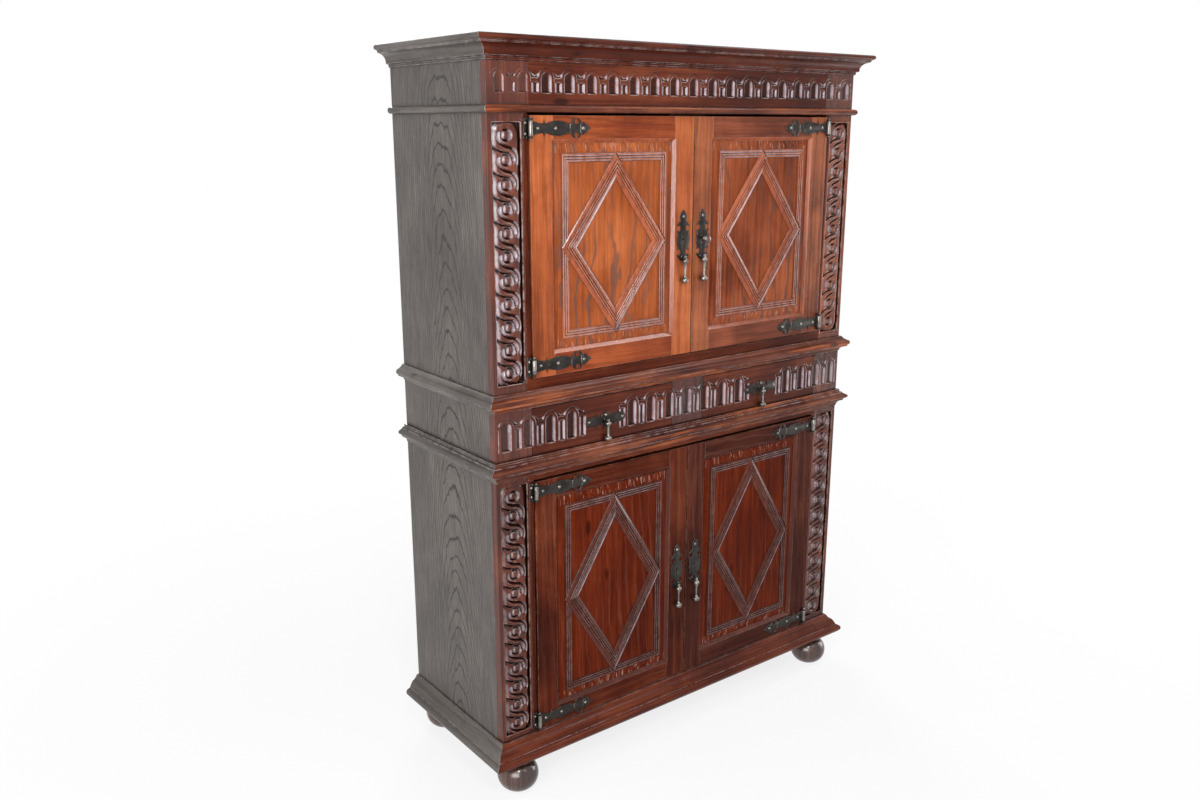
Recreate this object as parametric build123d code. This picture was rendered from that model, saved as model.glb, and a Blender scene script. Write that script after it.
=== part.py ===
from build123d import *
import os
from math import hypot

# Trastero cabinet in millimetres. Origin on the floor under the middle of the
# overall box, +X to the right, +Y to the back, +Z up; the doors face -Y.

# overall sizes
CASE_WIDTH = 1220
CASE_DEPTH = 450
OVERHANG = 42

# heights of the stacked stages, floor to top
FOOT_HEIGHT = 92
BASE_HEIGHT = 58
LOWER_HEIGHT = 696
LOW_BAND = 52
WAIST_HEIGHT = 120
UP_BAND = 46
UPPER_HEIGHT = 640
ASTRAGAL = 18
FRIEZE = 92
CORNICE = 54

# how far each moulding stands out from the case
LOW_BAND_OUT = 26.5
UP_BAND_OUT = 24.5
ASTRAGAL_OUT = 12.5

# boards
SIDE_T = 22
FRAME_T = 24
BACK_T = 10
SHELF_T = 18
TOP_T = 18
WAIST_T = 22
PLANKS = 5
CLEAT = 20
SHELF_SETBACK = 25

# front frame
PILASTER = 93
STRIP = 13
CORNER_BLOCK = 105
MUNTIN = 110
LOW_RAIL = 62
UP_RAIL = 49
FRIEZE_CORNER = 110
BLOCK = 76

# carving: knots on the pilasters, arches on frieze and waist
CARVE_DEPTH = 3
CARVE_MARGIN_OUT = 13
CARVE_MARGIN_IN = 3
LOWER_CARVE_END = 15
UPPER_CARVE_END = 21
KNOT_GAP = 4
LOWER_KNOTS = 13
UPPER_KNOTS = 11
ARCHES = 19
NICHE_WIDTH = 27
NICHE_DEPTH = 5
FRIEZE_NICHE = (25, 71)
WAIST_NICHE = (22, 95)

# feet
FOOT_R = 54
FOOT_NECK_R = 32
FOOT_COLLAR_R = 40
FOOT_PAD_R = 24
FOOT_COLLAR = 14
FOOT_SIDE_INSET = 51
REAR_FOOT_INSET = 56
DOWEL_R = 9
DOWEL_LENGTH = 30

# doors
DOOR_T = 25
DOOR_PROUD = 6
STILE = 64
UPPER_DOOR_RAIL = 57
LOWER_DOOR_RAIL = 52
HINGE_GAP = 2
MEETING_GAP = 3
SILL_GAP = 3
HEAD_GAP = 5
STICKING = 7
GROOVE = 8
GROOVE_SETBACK = 9
GROOVE_WIDTH = 6
PANEL_PLAY = 0.8
TENON = 40
TENON_SHOULDER = 8
FIELD_SETBACK = 5
BORDER_X = 24
BORDER_Z = 27
REED_BAND = 22
REED_HEIGHT = 3.5
LOZENGE_WIDTH = 37
LOZENGE_BEVEL = 11.5
LOZENGE_SHOULDER = 6.7
LOZENGE_HEIGHT = 8.5
STOP_WIDTH = 120
STOP_HEIGHT = 12
STOP_T = 10
STOP_GAP = 0.3

# iron: straps, leaves, plates, nails
IRON_T = 2
KNUCKLE_R = 5
PIN_R = 2.5
PIN_PLAY = 0.08
PIN_STANDOFF = 5.5
STRAP_HEIGHT = 34
STRAP_LENGTH = 170
LEAF_HEIGHT = 46
LEAF_WIDTH = 12
KNUCKLE_GAP = 0.5
ARM_T = 3.7
NAIL_HEAD_R = 3.5
NAIL_HEAD = 2.2
NAIL_R = 1.2
NAIL_PLAY = 0.05
NAIL_LENGTH = 8
STRAP_NAILS = (22, 72, 150)
LEAF_NAIL = 12
PLATE_NAIL = 59
LOWER_KEYHOLE_DROP = 14
UPPER_KEYHOLE_DROP = 3

# hanging pulls
PULL_AXIS_OUT = 11
PULL_BELOW_KEYHOLE = 44
PULL_LENGTH = 67
DRAWER_PULL_LENGTH = 53
PULL_PIN_R = 1.5
PULL_HEAD_R = 3.5
PULL_HEAD_WIDTH = 5.4
PULL_END_R = 9.5
PULL_BELL_R = 8
PULL_NECK_R = 2.75
EAR_T = 2.2
EAR_R = 3
EAR_GAP = 0.3

# locks, in mm from the key's axis where not said otherwise
LOCK_WIDTH = 58
LOCK_HEIGHT = 60
LOCK_DEPTH = 20
LOCK_WALL = 2
LOCK_EDGE = 2.5
BOLT_RISE = 9
BOLT_HEIGHT = 10
BOLT_T = 6
BOLT_LENGTH = 46
BOLT_THROW = 12
BOLT_PLAY = 0.3
BOLT_NOTCH = (12, 2)
BOLT_INSET = 0.5
BOLT_SETBACK = 6
BOLT_GUIDE = 4
KEEPER_WIDTH = 16
KEEPER_DEPTH = 16
KEEPER_RIM = 6
KEEPER_PLAY = 1
KEY_R = 3
KEY_PLAY = 0.05
KEYHOLE_R = 3.6
KEYHOLE_SLOT = 11
BLIND_KEYHOLE = 8
KEY_BIT_R = 9.5
KEY_BIT_T = 3
BOW_R = 11
BOW_HOLE_R = 7
BOW_T = 4
BOW_REACH = 40
KEY_COLLAR = (5, 3)
KEY_BIT_LENGTH = 8

# drawers
DRAWER_FRONT_T = 22
DRAWER_GAP = 1.5
DRAWER_SIDE_T = 12
DRAWER_BOTTOM_T = 6
DRAWER_REAR_GAP = 28
DRAWER_SIDE_DROP = 8
RUNNING_GAP = 0.4
GUIDE_GAP = 0.5
GUIDE = (20, 40)
DRAWER_PLATE = 127
DRAWER_PLATE_HEIGHT = 32
PLATE_NAILS = (53, 11)
DRAWER_PULL_RISE = 55

# places worked out from the sizes above
HALF = CASE_WIDTH / 2
FRONT = (OVERHANG - CASE_DEPTH) / 2
BACK = FRONT + CASE_DEPTH
FRAME_BACK = FRONT + FRAME_T
BACK_FACE = BACK - BACK_T
INSIDE = HALF - SIDE_T
PILASTER_IN = HALF - PILASTER
OPEN_HALF = PILASTER_IN - STRIP
DRAWER_OUT = HALF - CORNER_BLOCK
DRAWER_IN = MUNTIN / 2
Z_CASE = FOOT_HEIGHT
Z_LOWER = Z_CASE + BASE_HEIGHT
Z_LOW_BAND = Z_LOWER + LOWER_HEIGHT
Z_DECK = Z_LOW_BAND + LOW_BAND
Z_WAIST = Z_DECK + WAIST_HEIGHT
Z_UNIT = Z_WAIST + WAIST_T
Z_SILL = Z_UNIT + UP_RAIL
Z_FRIEZE = Z_WAIST + UP_BAND + UPPER_HEIGHT
Z_CORNICE = Z_FRIEZE + ASTRAGAL + FRIEZE
Z_TOP = Z_CORNICE + CORNICE
Z_LID = Z_TOP - TOP_T
Z_HEAD = Z_DECK - LOW_RAIL
DOOR_FACE = FRONT - DOOR_PROUD
DOOR_BACK = DOOR_FACE + DOOR_T
HINGE_X = HINGE_GAP / 2 - OPEN_HALF
HINGE_Y = DOOR_FACE - PIN_STANDOFF
HINGE_SIDE = HINGE_GAP - OPEN_HALF
MEETING_SIDE = -MEETING_GAP / 2
PLATE_X = MEETING_SIDE - STILE / 2
DRAWER_PLATE_X = (DRAWER_IN + DRAWER_OUT) / 2
PULL_Z = Z_DECK + DRAWER_PULL_RISE
ARCH_PITCH = CASE_WIDTH / ARCHES

os.makedirs("parts", exist_ok=True)


def save(node, *pieces):
    """Write one node's STEP file with every solid of its pieces."""
    solids = [solid for piece in pieces for solid in piece.solids()]
    export_step(Compound(children=solids), f"parts/{node}.step")


def board(x0, x1, y0, y1, z0, z1):
    """Plain board, or a block to cut with, between six planes."""
    return Pos((x0 + x1) / 2, (y0 + y1) / 2, (z0 + z1) / 2) * Box(x1 - x0, y1 - y0, z1 - z0)


def pair(piece):
    """A left-hand piece and its right-hand twin."""
    return [piece, mirror(piece, about=Plane.YZ)]


def outline(start, *steps):
    """Closed face. A step is a point for a straight run, or (middle, end) for an arc."""
    edges = []
    here = start
    for step in steps:
        if isinstance(step[0], tuple):
            edges.append(ThreePointArc(here, step[0], step[1]))
            here = step[1]
        else:
            edges.append(Line(here, step))
            here = step
    edges.append(Line(here, start))
    return make_face(edges)


def front_plane(x, y, z):
    """Plane facing the viewer: drawn x runs right, drawn y runs up, thickness comes forward."""
    return Plane(origin=(x, y, z), x_dir=(1, 0, 0), z_dir=(0, -1, 0))


def prism(plane, face, length):
    """Face drawn on a plane, thickened along the plane's normal."""
    return extrude(plane * face, length, dir=plane.z_dir)


def turned(start, *steps):
    """Solid of revolution about Z from an outline of (radius, height) points."""
    return revolve(Plane.XZ * outline(start, *steps), Axis.Z)


def rod(x, y, z, radius, length, axis):
    """Round bar centred on a point, along one of the row's axes."""
    turn = {"x": Rot(0, 90, 0), "y": Rot(90, 0, 0), "z": Rot(0, 0, 0)}[axis]
    return Pos(x, y, z) * turn * Cylinder(radius, length)


# ---------------------------------------------------------------- mouldings


def moulding(profile, z, out, height):
    """Front length and two returns of one profile, mitred at the corners."""
    reach = HALF + out
    far = FRONT - out
    front = Plane(origin=(reach, FRONT, z), x_dir=(0, -1, 0), z_dir=(-1, 0, 0))
    side = Plane(origin=(HALF, BACK, z), x_dir=(1, 0, 0), z_dir=(0, -1, 0))
    front_mitre = outline((-reach, far), (reach, far), (HALF, FRONT), (-HALF, FRONT))
    side_mitre = outline((HALF, FRONT), (reach, far), (reach, BACK), (HALF, BACK))
    level = Plane(origin=(0, 0, z))
    front_run = prism(front, profile, 2 * reach) & prism(level, front_mitre, height)
    side_run = prism(side, profile, CASE_DEPTH + out) & prism(level, side_mitre, height)
    return [front_run, *pair(side_run)]


def cornice_profile():
    out, top = OVERHANG, CORNICE
    return outline((0, 0), (4, 2.5), (4, 8), (11, 10.5), (11, 15), ((16, 27), (out - 15, top - 20)),
                   (out - 9, top - 18), (out - 9, top - 15), (out - 6, top - 12),
                   ((out, top - 7), (out - 5, top)), (0, top))


def astragal_profile():
    out, top = ASTRAGAL_OUT, ASTRAGAL
    return outline((0, 0), (3, 1), ((out, top / 2), (3, top - 1)), (0, top))


def low_band_profile():
    out, top = LOW_BAND_OUT, LOW_BAND
    return outline((0, 0), (2, 3), ((5.5, 12), (13, 17)), (17, 19), (17, 22), (out - 2.5, top - 25),
                   ((out, top - 20.5), (out - 2.5, top - 16)), (15, top - 11), (15, top - 9),
                   (8, top - 6), (8, top), (0, top))


def up_band_profile():
    out, top = UP_BAND_OUT, UP_BAND
    return outline((0, 0), (2, 1.5), ((6, 9.5), (14.5, 12.8)), (19, 15), (19, 18),
                   ((out, 24.5), (18, top - 12)), (13.4, top - 9.5), ((8.5, top - 5), (6, top - 1)),
                   (1, top), (0, top))


def base_profile():
    out, top = OVERHANG, BASE_HEIGHT
    return outline((0, 0), (out - 6, 0), (out - 4, 3), ((out, 10), (out - 5, 21)), (30, 24),
                   ((26, 33), (22, 40)), (20, 42), ((12, 48), (8, top - 3)), (4, top), (0, top))


save("base_moulding", *moulding(base_profile(), Z_CASE, OVERHANG, BASE_HEIGHT))
save("lower_waist_moulding", *moulding(low_band_profile(), Z_LOW_BAND, LOW_BAND_OUT, LOW_BAND))
save("upper_waist_moulding", *moulding(up_band_profile(), Z_WAIST, UP_BAND_OUT, UP_BAND))
save("astragal", *moulding(astragal_profile(), Z_FRIEZE, ASTRAGAL_OUT, ASTRAGAL))
save("cornice", *moulding(cornice_profile(), Z_CORNICE, OVERHANG, CORNICE))

# ---------------------------------------------------------------- carcass


def planked_back(z0, z1):
    """Upright back planks, edge to edge between the sides."""
    width = 2 * INSIDE / PLANKS
    lefts = [k * width - INSIDE for k in range(PLANKS)]
    return [board(left, left + width, BACK_FACE, BACK, z0, z1) for left in lefts]


def shelf(top, front=FRAME_BACK):
    """Board from side to side whose upper face is at a given height."""
    return board(-INSIDE, INSIDE, front, BACK_FACE, top - SHELF_T, top)


def cleats(top, front=FRAME_BACK + BLOCK):
    """Pair of side cleats under a shelf whose upper face is at a given height."""
    under = top - SHELF_T
    return pair(board(-INSIDE, CLEAT - INSIDE, front, BACK_FACE, under - CLEAT, under))


def pilaster(z0, z1, low, high, knots):
    """Post of the front frame, with a sunk panel of round knots from low to high."""
    left = CARVE_MARGIN_OUT - HALF
    right = -PILASTER_IN - CARVE_MARGIN_IN
    post = board(-HALF, -PILASTER_IN, FRONT, FRAME_BACK, z0, z1)
    post -= board(left, right, FRONT, FRONT + CARVE_DEPTH, low, high)
    pitch = (high - low) / knots
    for k in range(knots):
        centre = ((left + right) / 2, FRONT + CARVE_DEPTH / 2, low + (k + 0.5) * pitch)
        post += rod(*centre, pitch / 2 - KNOT_GAP, CARVE_DEPTH, "y")
    return post


def niches(z, span, skipped=()):
    """Round-headed recesses of the arcade; span is their foot and crown above z."""
    radius = NICHE_WIDTH / 2
    shape = outline((-radius, span[0]), (radius, span[0]), (radius, span[1] - radius),
                    ((0, span[1]), (-radius, span[1] - radius)))
    places = [(k - (ARCHES - 1) / 2) * ARCH_PITCH for k in range(ARCHES)]
    kept = [x for x in places if all(abs(x - gap) > DRAWER_PLATE / 2 for gap in skipped)]
    return [prism(front_plane(x, FRONT, z), shape, -NICHE_DEPTH) for x in kept]


frieze_niches = niches(Z_FRIEZE + ASTRAGAL, FRIEZE_NICHE)
waist_niches = niches(Z_DECK, WAIST_NICHE, (-DRAWER_PLATE_X, DRAWER_PLATE_X))
shelf_front = FRAME_BACK + SHELF_SETBACK
lower_shelf = (Z_LOWER + Z_HEAD) / 2
upper_shelves = [Z_SILL + k * (Z_FRIEZE - Z_SILL) / 3 for k in (1, 2)]

save("lower_sides", *pair(board(-HALF, -INSIDE, FRAME_BACK, BACK, Z_CASE, Z_WAIST)))
save("upper_sides", *pair(board(-HALF, -INSIDE, FRAME_BACK, BACK, Z_UNIT, Z_LID)))
save("lower_back", *planked_back(Z_CASE, Z_WAIST))
save("upper_back", *planked_back(Z_UNIT, Z_LID))
save("lower_shelves", shelf(Z_LOWER), shelf(lower_shelf, shelf_front))
save("upper_shelves",
     shelf(Z_SILL), *[shelf(top, shelf_front) for top in upper_shelves], shelf(Z_FRIEZE + SHELF_T))
save("drawer_deck", shelf(Z_DECK))
save("waist_top", board(-HALF, HALF, FRONT, BACK, Z_WAIST, Z_UNIT))
save("top_board", board(-HALF, HALF, FRONT, BACK, Z_LID, Z_TOP))
save("front_rails",
     board(-PILASTER_IN, PILASTER_IN, FRONT, FRAME_BACK, Z_CASE, Z_LOWER),
     board(-PILASTER_IN, PILASTER_IN, FRONT, FRAME_BACK, Z_HEAD, Z_DECK),
     board(-PILASTER_IN, PILASTER_IN, FRONT, FRAME_BACK, Z_UNIT, Z_SILL))
save("frieze_board",
     board(FRIEZE_CORNER - HALF, HALF - FRIEZE_CORNER, FRONT, FRAME_BACK, Z_FRIEZE, Z_LID) - frieze_niches)
save("frieze_corner_blocks",
     *pair(board(-HALF, FRIEZE_CORNER - HALF, FRONT, FRAME_BACK, Z_FRIEZE, Z_LID) - frieze_niches))
save("waist_blocks",
     *pair(board(-HALF, -DRAWER_OUT, FRONT, FRAME_BACK, Z_DECK, Z_WAIST) - waist_niches),
     board(-DRAWER_IN, DRAWER_IN, FRONT, FRAME_BACK, Z_DECK, Z_WAIST) - waist_niches)

foot_x = HALF - FOOT_SIDE_INSET
front_foot_y = FRONT + FRAME_T / 2
rear_foot_y = BACK - REAR_FOOT_INSET


def dowel(y):
    """Peg on top of a foot, and the hole it fills."""
    return rod(-foot_x, y, Z_CASE + DOWEL_LENGTH / 2, DOWEL_R, DOWEL_LENGTH, "z")


def foot(y):
    """Flattened ball with a neck, a collar and its dowel."""
    neck = FOOT_HEIGHT - FOOT_COLLAR
    ball = turned((0, 0), (FOOT_PAD_R, 0), ((FOOT_R, neck / 2), (FOOT_NECK_R, neck)),
                  (FOOT_NECK_R, neck + 2), ((FOOT_COLLAR_R, neck + 8), (FOOT_COLLAR_R - 3, FOOT_HEIGHT)),
                  (0, FOOT_HEIGHT))
    return Pos(-foot_x, y, 0) * ball + dowel(y)


def foot_block(y0):
    """Corner block inside the base that carries the floor and stiffens a foot."""
    return board(-INSIDE, BLOCK - INSIDE, y0, y0 + BLOCK, Z_CASE, Z_LOWER - SHELF_T)


def stop(z0):
    """Lath behind the meeting stiles, on a sill or under a head."""
    y0 = DOOR_BACK + STOP_GAP
    return board(-STOP_WIDTH / 2, STOP_WIDTH / 2, y0, y0 + STOP_T, z0, z0 + STOP_HEIGHT)


def guide(x0):
    """Runner on the drawer deck, beside a drawer."""
    return board(x0, x0 + GUIDE[0], FRAME_BACK, BACK_FACE, Z_DECK, Z_DECK + GUIDE[1])


lower_carving = (Z_LOWER + LOWER_CARVE_END, Z_LOW_BAND - LOWER_CARVE_END)
upper_carving = (Z_WAIST + UP_BAND + UPPER_CARVE_END, Z_FRIEZE - UPPER_CARVE_END)
lower_post = pilaster(Z_CASE, Z_DECK, *lower_carving, LOWER_KNOTS) - dowel(front_foot_y)
upper_post = pilaster(Z_UNIT, Z_FRIEZE, *upper_carving, UPPER_KNOTS)

save("bun_feet", *pair(foot(front_foot_y)), *pair(foot(rear_foot_y)))
save("lower_pilasters", *pair(lower_post))
save("upper_pilasters", *pair(upper_post))
save("foot_blocks",
     *pair(foot_block(FRAME_BACK) - dowel(front_foot_y)),
     *pair(foot_block(BACK_FACE - BLOCK) - dowel(rear_foot_y)))
save("shelf_cleats",
     *cleats(lower_shelf, shelf_front),
     *[cleat for top in upper_shelves for cleat in cleats(top, shelf_front)],
     *[cleat for top in (Z_DECK, Z_SILL, Z_FRIEZE + SHELF_T) for cleat in cleats(top, FRAME_BACK)])
save("door_stops", stop(Z_LOWER), stop(Z_HEAD - STOP_HEIGHT), stop(Z_SILL), stop(Z_FRIEZE - STOP_HEIGHT))
save("drawer_guides",
     *pair(guide(GUIDE_GAP - DRAWER_GAP - DRAWER_IN)),
     *pair(guide(DRAWER_GAP - GUIDE_GAP - DRAWER_OUT - GUIDE[0])))

# ---------------------------------------------------------------- iron


def nail(x, face, z):
    """Dome-headed nail whose head rests on the iron at y = face."""
    shape = turned((0, -IRON_T - NAIL_LENGTH), (NAIL_R, -IRON_T - NAIL_LENGTH), (NAIL_R, 0),
                   (NAIL_HEAD_R, 0), ((NAIL_HEAD_R * 0.75, NAIL_HEAD * 0.7), (NAIL_R / 2, NAIL_HEAD)),
                   (0, NAIL_HEAD))
    return front_plane(x, face, z) * shape


def nail_hole(x, face, z):
    """Hole for a nail's shank, through the iron and into the wood."""
    depth = IRON_T + NAIL_LENGTH
    return rod(x, face + depth / 2, z, NAIL_R + NAIL_PLAY, depth, "y")


def leaf(z):
    """Fixed hinge leaf: plate on the strip, two arms with knuckles, and the pin."""
    half = LEAF_HEIGHT / 2
    inner = -OPEN_HALF - KNUCKLE_GAP / 2
    piece = board(inner - LEAF_WIDTH, inner, FRONT - IRON_T, FRONT, z - half, z + half)
    piece += rod(HINGE_X, HINGE_Y, z, PIN_R, LEAF_HEIGHT, "z")
    knuckle = half - STRAP_HEIGHT / 2 - KNUCKLE_GAP
    for side in (-1, 1):
        middle = z + side * (half - knuckle / 2)
        piece += board(inner - ARM_T, inner, HINGE_Y, FRONT, middle - knuckle / 2, middle + knuckle / 2)
        piece += rod(HINGE_X, HINGE_Y, middle, KNUCKLE_R, knuckle, "z")
    return piece


def leaf_nails(z):
    """Places of the nails through a fixed leaf."""
    x = -OPEN_HALF - (KNUCKLE_GAP + LEAF_WIDTH) / 2
    return [(x, FRONT - IRON_T, z + side * LEAF_NAIL) for side in (-1, 1)]


def strap(z):
    """Hinge strap on a door rail, from its rolled knuckle to its leaf-shaped tip."""
    half = STRAP_HEIGHT / 2
    upper = outline((0, 0), (0, half), (4, half), (36, 10.7), (40, half + 2), (43.5, 9),
                    ((74, half - 0.5), (112, 9)), (116, 10), (121, half + 1), (127, half - 2),
                    ((131, 9), (136, half - 2)), (141, half + 1), (143, 9), (147, 9),
                    ((157, 9), (STRAP_LENGTH, 0)))
    shape = upper + mirror(upper, about=Plane.XZ)
    plate = prism(front_plane(HINGE_X, DOOR_FACE, z), shape, IRON_T)
    knuckle = rod(HINGE_X, HINGE_Y, z, KNUCKLE_R, STRAP_HEIGHT, "z")
    return plate + knuckle - rod(HINGE_X, HINGE_Y, z, PIN_R + PIN_PLAY, STRAP_HEIGHT, "z")


def keyhole(x, z, y0, y1):
    """Round-topped keyhole cut between two depths."""
    low = -KEYHOLE_R * 0.86
    shape = outline((KEYHOLE_R / 2, -KEYHOLE_SLOT), (KEYHOLE_R / 2, low),
                    ((0, KEYHOLE_R), (-KEYHOLE_R / 2, low)), (-KEYHOLE_R / 2, -KEYHOLE_SLOT))
    return prism(front_plane(x, y1, z), shape, y1 - y0)


def ears(x, face, z):
    """Two ears and the pin of a hanging pull, standing on an iron plate."""
    inner = PULL_HEAD_WIDTH / 2 + EAR_GAP
    axis = face - PULL_AXIS_OUT
    piece = rod(x, axis, z, PULL_PIN_R, 2 * (inner + EAR_T), "x")
    for side in (-1, 1):
        middle = x + side * (inner + EAR_T / 2)
        piece += rod(middle, axis, z, EAR_R, EAR_T, "x")
        piece += board(middle - EAR_T / 2, middle + EAR_T / 2, axis, face - IRON_T, z - EAR_R, z + EAR_R)
    return piece


def pull(x, face, z, length):
    """Hanging pull: eye, bell, thin neck and mushroom end."""
    body = turned((0, -2), (PULL_NECK_R, -3), ((PULL_BELL_R - 2, -5), (PULL_BELL_R, -12)),
                  ((PULL_NECK_R + 1, -20), (PULL_NECK_R, 18 - length)),
                  ((PULL_NECK_R + 2, 13 - length), (PULL_END_R, 8 - length)),
                  ((PULL_END_R - 1, 3 - length), (PULL_END_R / 2, -length)), (0, -length))
    eye = rod(0, 0, 0, PULL_HEAD_R, PULL_HEAD_WIDTH, "x")
    hole = rod(0, 0, 0, PULL_PIN_R + PIN_PLAY, PULL_HEAD_WIDTH, "x")
    return Pos(x, face - PULL_AXIS_OUT, z) * (body + eye - hole)


def door_plate(z):
    """Escutcheon on a meeting stile, keyhole at height z, with the ears of its pull."""
    half = outline((0, 76), ((9, 66), (11, 55)), (10, 45), (20, 37), (16, 35), ((8, 29), (16, 23)),
                   (21, 21), (18, 13), ((22, -2), (17, -18)), (21, -22), (16, -26), ((8, -32), (16, -37)),
                   (20, -40), (12, -50), (0, -54))
    shape = half + mirror(half, about=Plane.YZ)
    plate = prism(front_plane(PLATE_X, DOOR_FACE, z), shape, IRON_T)
    plate -= keyhole(PLATE_X, z, DOOR_FACE - IRON_T, DOOR_FACE)
    return plate + ears(PLATE_X, DOOR_FACE, z - PULL_BELOW_KEYHOLE)


def drawer_plate():
    """Level plate on a drawer front, with the ears of its pull."""
    high = DRAWER_PLATE_HEIGHT / 2
    quarter = outline((0, 0), (0, high + 3), (6, high), (13, high), ((19, high - 8), (25, high)),
                      (32, high), (38, 9), ((45, 12), (DRAWER_PLATE / 2, 0)))
    top = quarter + mirror(quarter, about=Plane.YZ)
    shape = top + mirror(top, about=Plane.XZ)
    plate = prism(front_plane(-DRAWER_PLATE_X, FRONT, PULL_Z), shape, IRON_T)
    return plate + ears(-DRAWER_PLATE_X, FRONT, PULL_Z)


# ---------------------------------------------------------------- doors


def door_frame(z0, z1, rail, holes):
    """Two stiles and two tenoned rails of a left-hand door, grooved for its panel."""
    left, right = HINGE_SIDE + STILE, MEETING_SIDE - STILE
    low, high = z0 + rail, z1 - rail
    ring = board(HINGE_SIDE, MEETING_SIDE, DOOR_FACE, DOOR_BACK, z0, z1)
    ring -= board(left, right, DOOR_FACE, DOOR_BACK, low, high)
    front_edges = ring.edges().filter_by(lambda edge: abs(edge.center().Y - DOOR_FACE) < 0.01)
    inner = [edge for edge in front_edges
             if HINGE_SIDE + 1 < edge.center().X < MEETING_SIDE - 1 and z0 + 1 < edge.center().Z < z1 - 1]
    ring = fillet(inner, STICKING)
    groove = DOOR_FACE + GROOVE_SETBACK
    ring -= board(left - GROOVE, right + GROOVE, groove, groove + GROOVE_WIDTH, low - GROOVE, high + GROOVE)
    levels = [(z0 + TENON_SHOULDER, low - GROOVE - 1), (high + GROOVE + 1, z1 - TENON_SHOULDER)]
    tenons = [[board(left - TENON, left, groove, groove + GROOVE_WIDTH, *level),
               board(right, right + TENON, groove, groove + GROOVE_WIDTH, *level)] for level in levels]
    hinge_stile = ring & board(HINGE_SIDE, left, DOOR_FACE, DOOR_BACK, z0, z1)
    meeting_stile = ring & board(right, MEETING_SIDE, DOOR_FACE, DOOR_BACK, z0, z1)
    low_rail = ring & board(left, right, DOOR_FACE, DOOR_BACK, z0, low)
    high_rail = ring & board(left, right, DOOR_FACE, DOOR_BACK, high, z1)
    stiles = [stile - tenons[0] - tenons[1] for stile in (hinge_stile, meeting_stile)]
    return [piece - holes for piece in (*stiles, low_rail + tenons[0], high_rail + tenons[1])]


def door_panel(z0, z1, rail):
    """Fielded panel floating in the grooves of a left-hand door."""
    left, right = HINGE_SIDE + STILE, MEETING_SIDE - STILE
    low, high = z0 + rail, z1 - rail
    edge = DOOR_FACE + GROOVE_SETBACK
    tongue = GROOVE - PANEL_PLAY
    slab = board(left - tongue, right + tongue, edge, edge + GROOVE_WIDTH, low - tongue, high + tongue)
    x, z = (left + right) / 2, (low + high) / 2
    foot_of_bevel = front_plane(x, edge, z) * Rectangle(right - left, high - low)
    field = front_plane(x, DOOR_FACE + FIELD_SETBACK, z) * Rectangle(right - left - 2 * BORDER_X,
                                                                     high - low - 2 * BORDER_Z)
    return slab + loft([foot_of_bevel, field], ruled=True)


def reeds(start, width, foot, top):
    """Steps of three half-round reeds side by side."""
    third = width / 3
    return [((start + (k + 0.5) * third, top), (start + (k + 1) * third, foot)) for k in range(3)]


def panel_moulding(z0, z1, rail):
    """Reeded rectangle and lozenge planted on a panel, as mitred strips."""
    half_x = (MEETING_SIDE - HINGE_SIDE) / 2 - STILE - BORDER_X
    half_z = (z1 - z0) / 2 - rail - BORDER_Z
    centre = ((HINGE_SIDE + MEETING_SIDE) / 2, DOOR_FACE + FIELD_SETBACK, (z0 + z1) / 2)
    flat = front_plane(*centre)
    band = outline((0, 0), (0, 1.5), *reeds(0, REED_BAND, 1.5, REED_HEIGHT), (REED_BAND, 0))
    ridge = LOZENGE_WIDTH - 2 * LOZENGE_BEVEL
    strip = outline((0, 0), (0, 1), (LOZENGE_BEVEL, LOZENGE_SHOULDER),
                    *reeds(LOZENGE_BEVEL, ridge, LOZENGE_SHOULDER, LOZENGE_HEIGHT),
                    (LOZENGE_WIDTH, 1), (LOZENGE_WIDTH, 0))

    def run(profile, x, z, inward, length):
        start = Plane(origin=(centre[0] + x, centre[1], centre[2] + z),
                      x_dir=(inward[0], 0, inward[1]), z_dir=(inward[1], 0, -inward[0]))
        return prism(start, profile, length)

    def block(*points):
        return prism(flat, outline(*points), LOZENGE_HEIGHT + 1)

    w = REED_BAND
    level = run(band, 0, half_z, (0, -1), half_x)
    level &= block((-half_x, half_z), (0, half_z), (0, half_z - w), (w - half_x, half_z - w))
    upright = run(band, -half_x, half_z, (1, 0), half_z)
    upright &= block((-half_x, half_z), (w - half_x, half_z - w), (w - half_x, 0), (-half_x, 0))
    corner = level + upright - block((0, half_z), (-half_x, 0), (0, 0))
    slope = hypot(half_x, half_z)
    inward = (half_z / slope, -half_x / slope)
    spare = LOZENGE_WIDTH * max(half_x / half_z, half_z / half_x)
    side = run(strip, -inward[1] * spare, half_z + inward[0] * spare, inward, slope + 2 * spare)
    for toward in ((-1, 0, 0), (0, 0, 1)):
        side = split(side, bisect_by=Plane(origin=centre, z_dir=toward), keep=Keep.TOP)
    turns = [mirror(piece, about=Plane(origin=centre, z_dir=(1, 0, 0))) for piece in (corner, side)]
    turns += [corner, side]
    return turns + [piece.rotate(Axis(centre, (0, 1, 0)), 180) for piece in turns]


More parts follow.
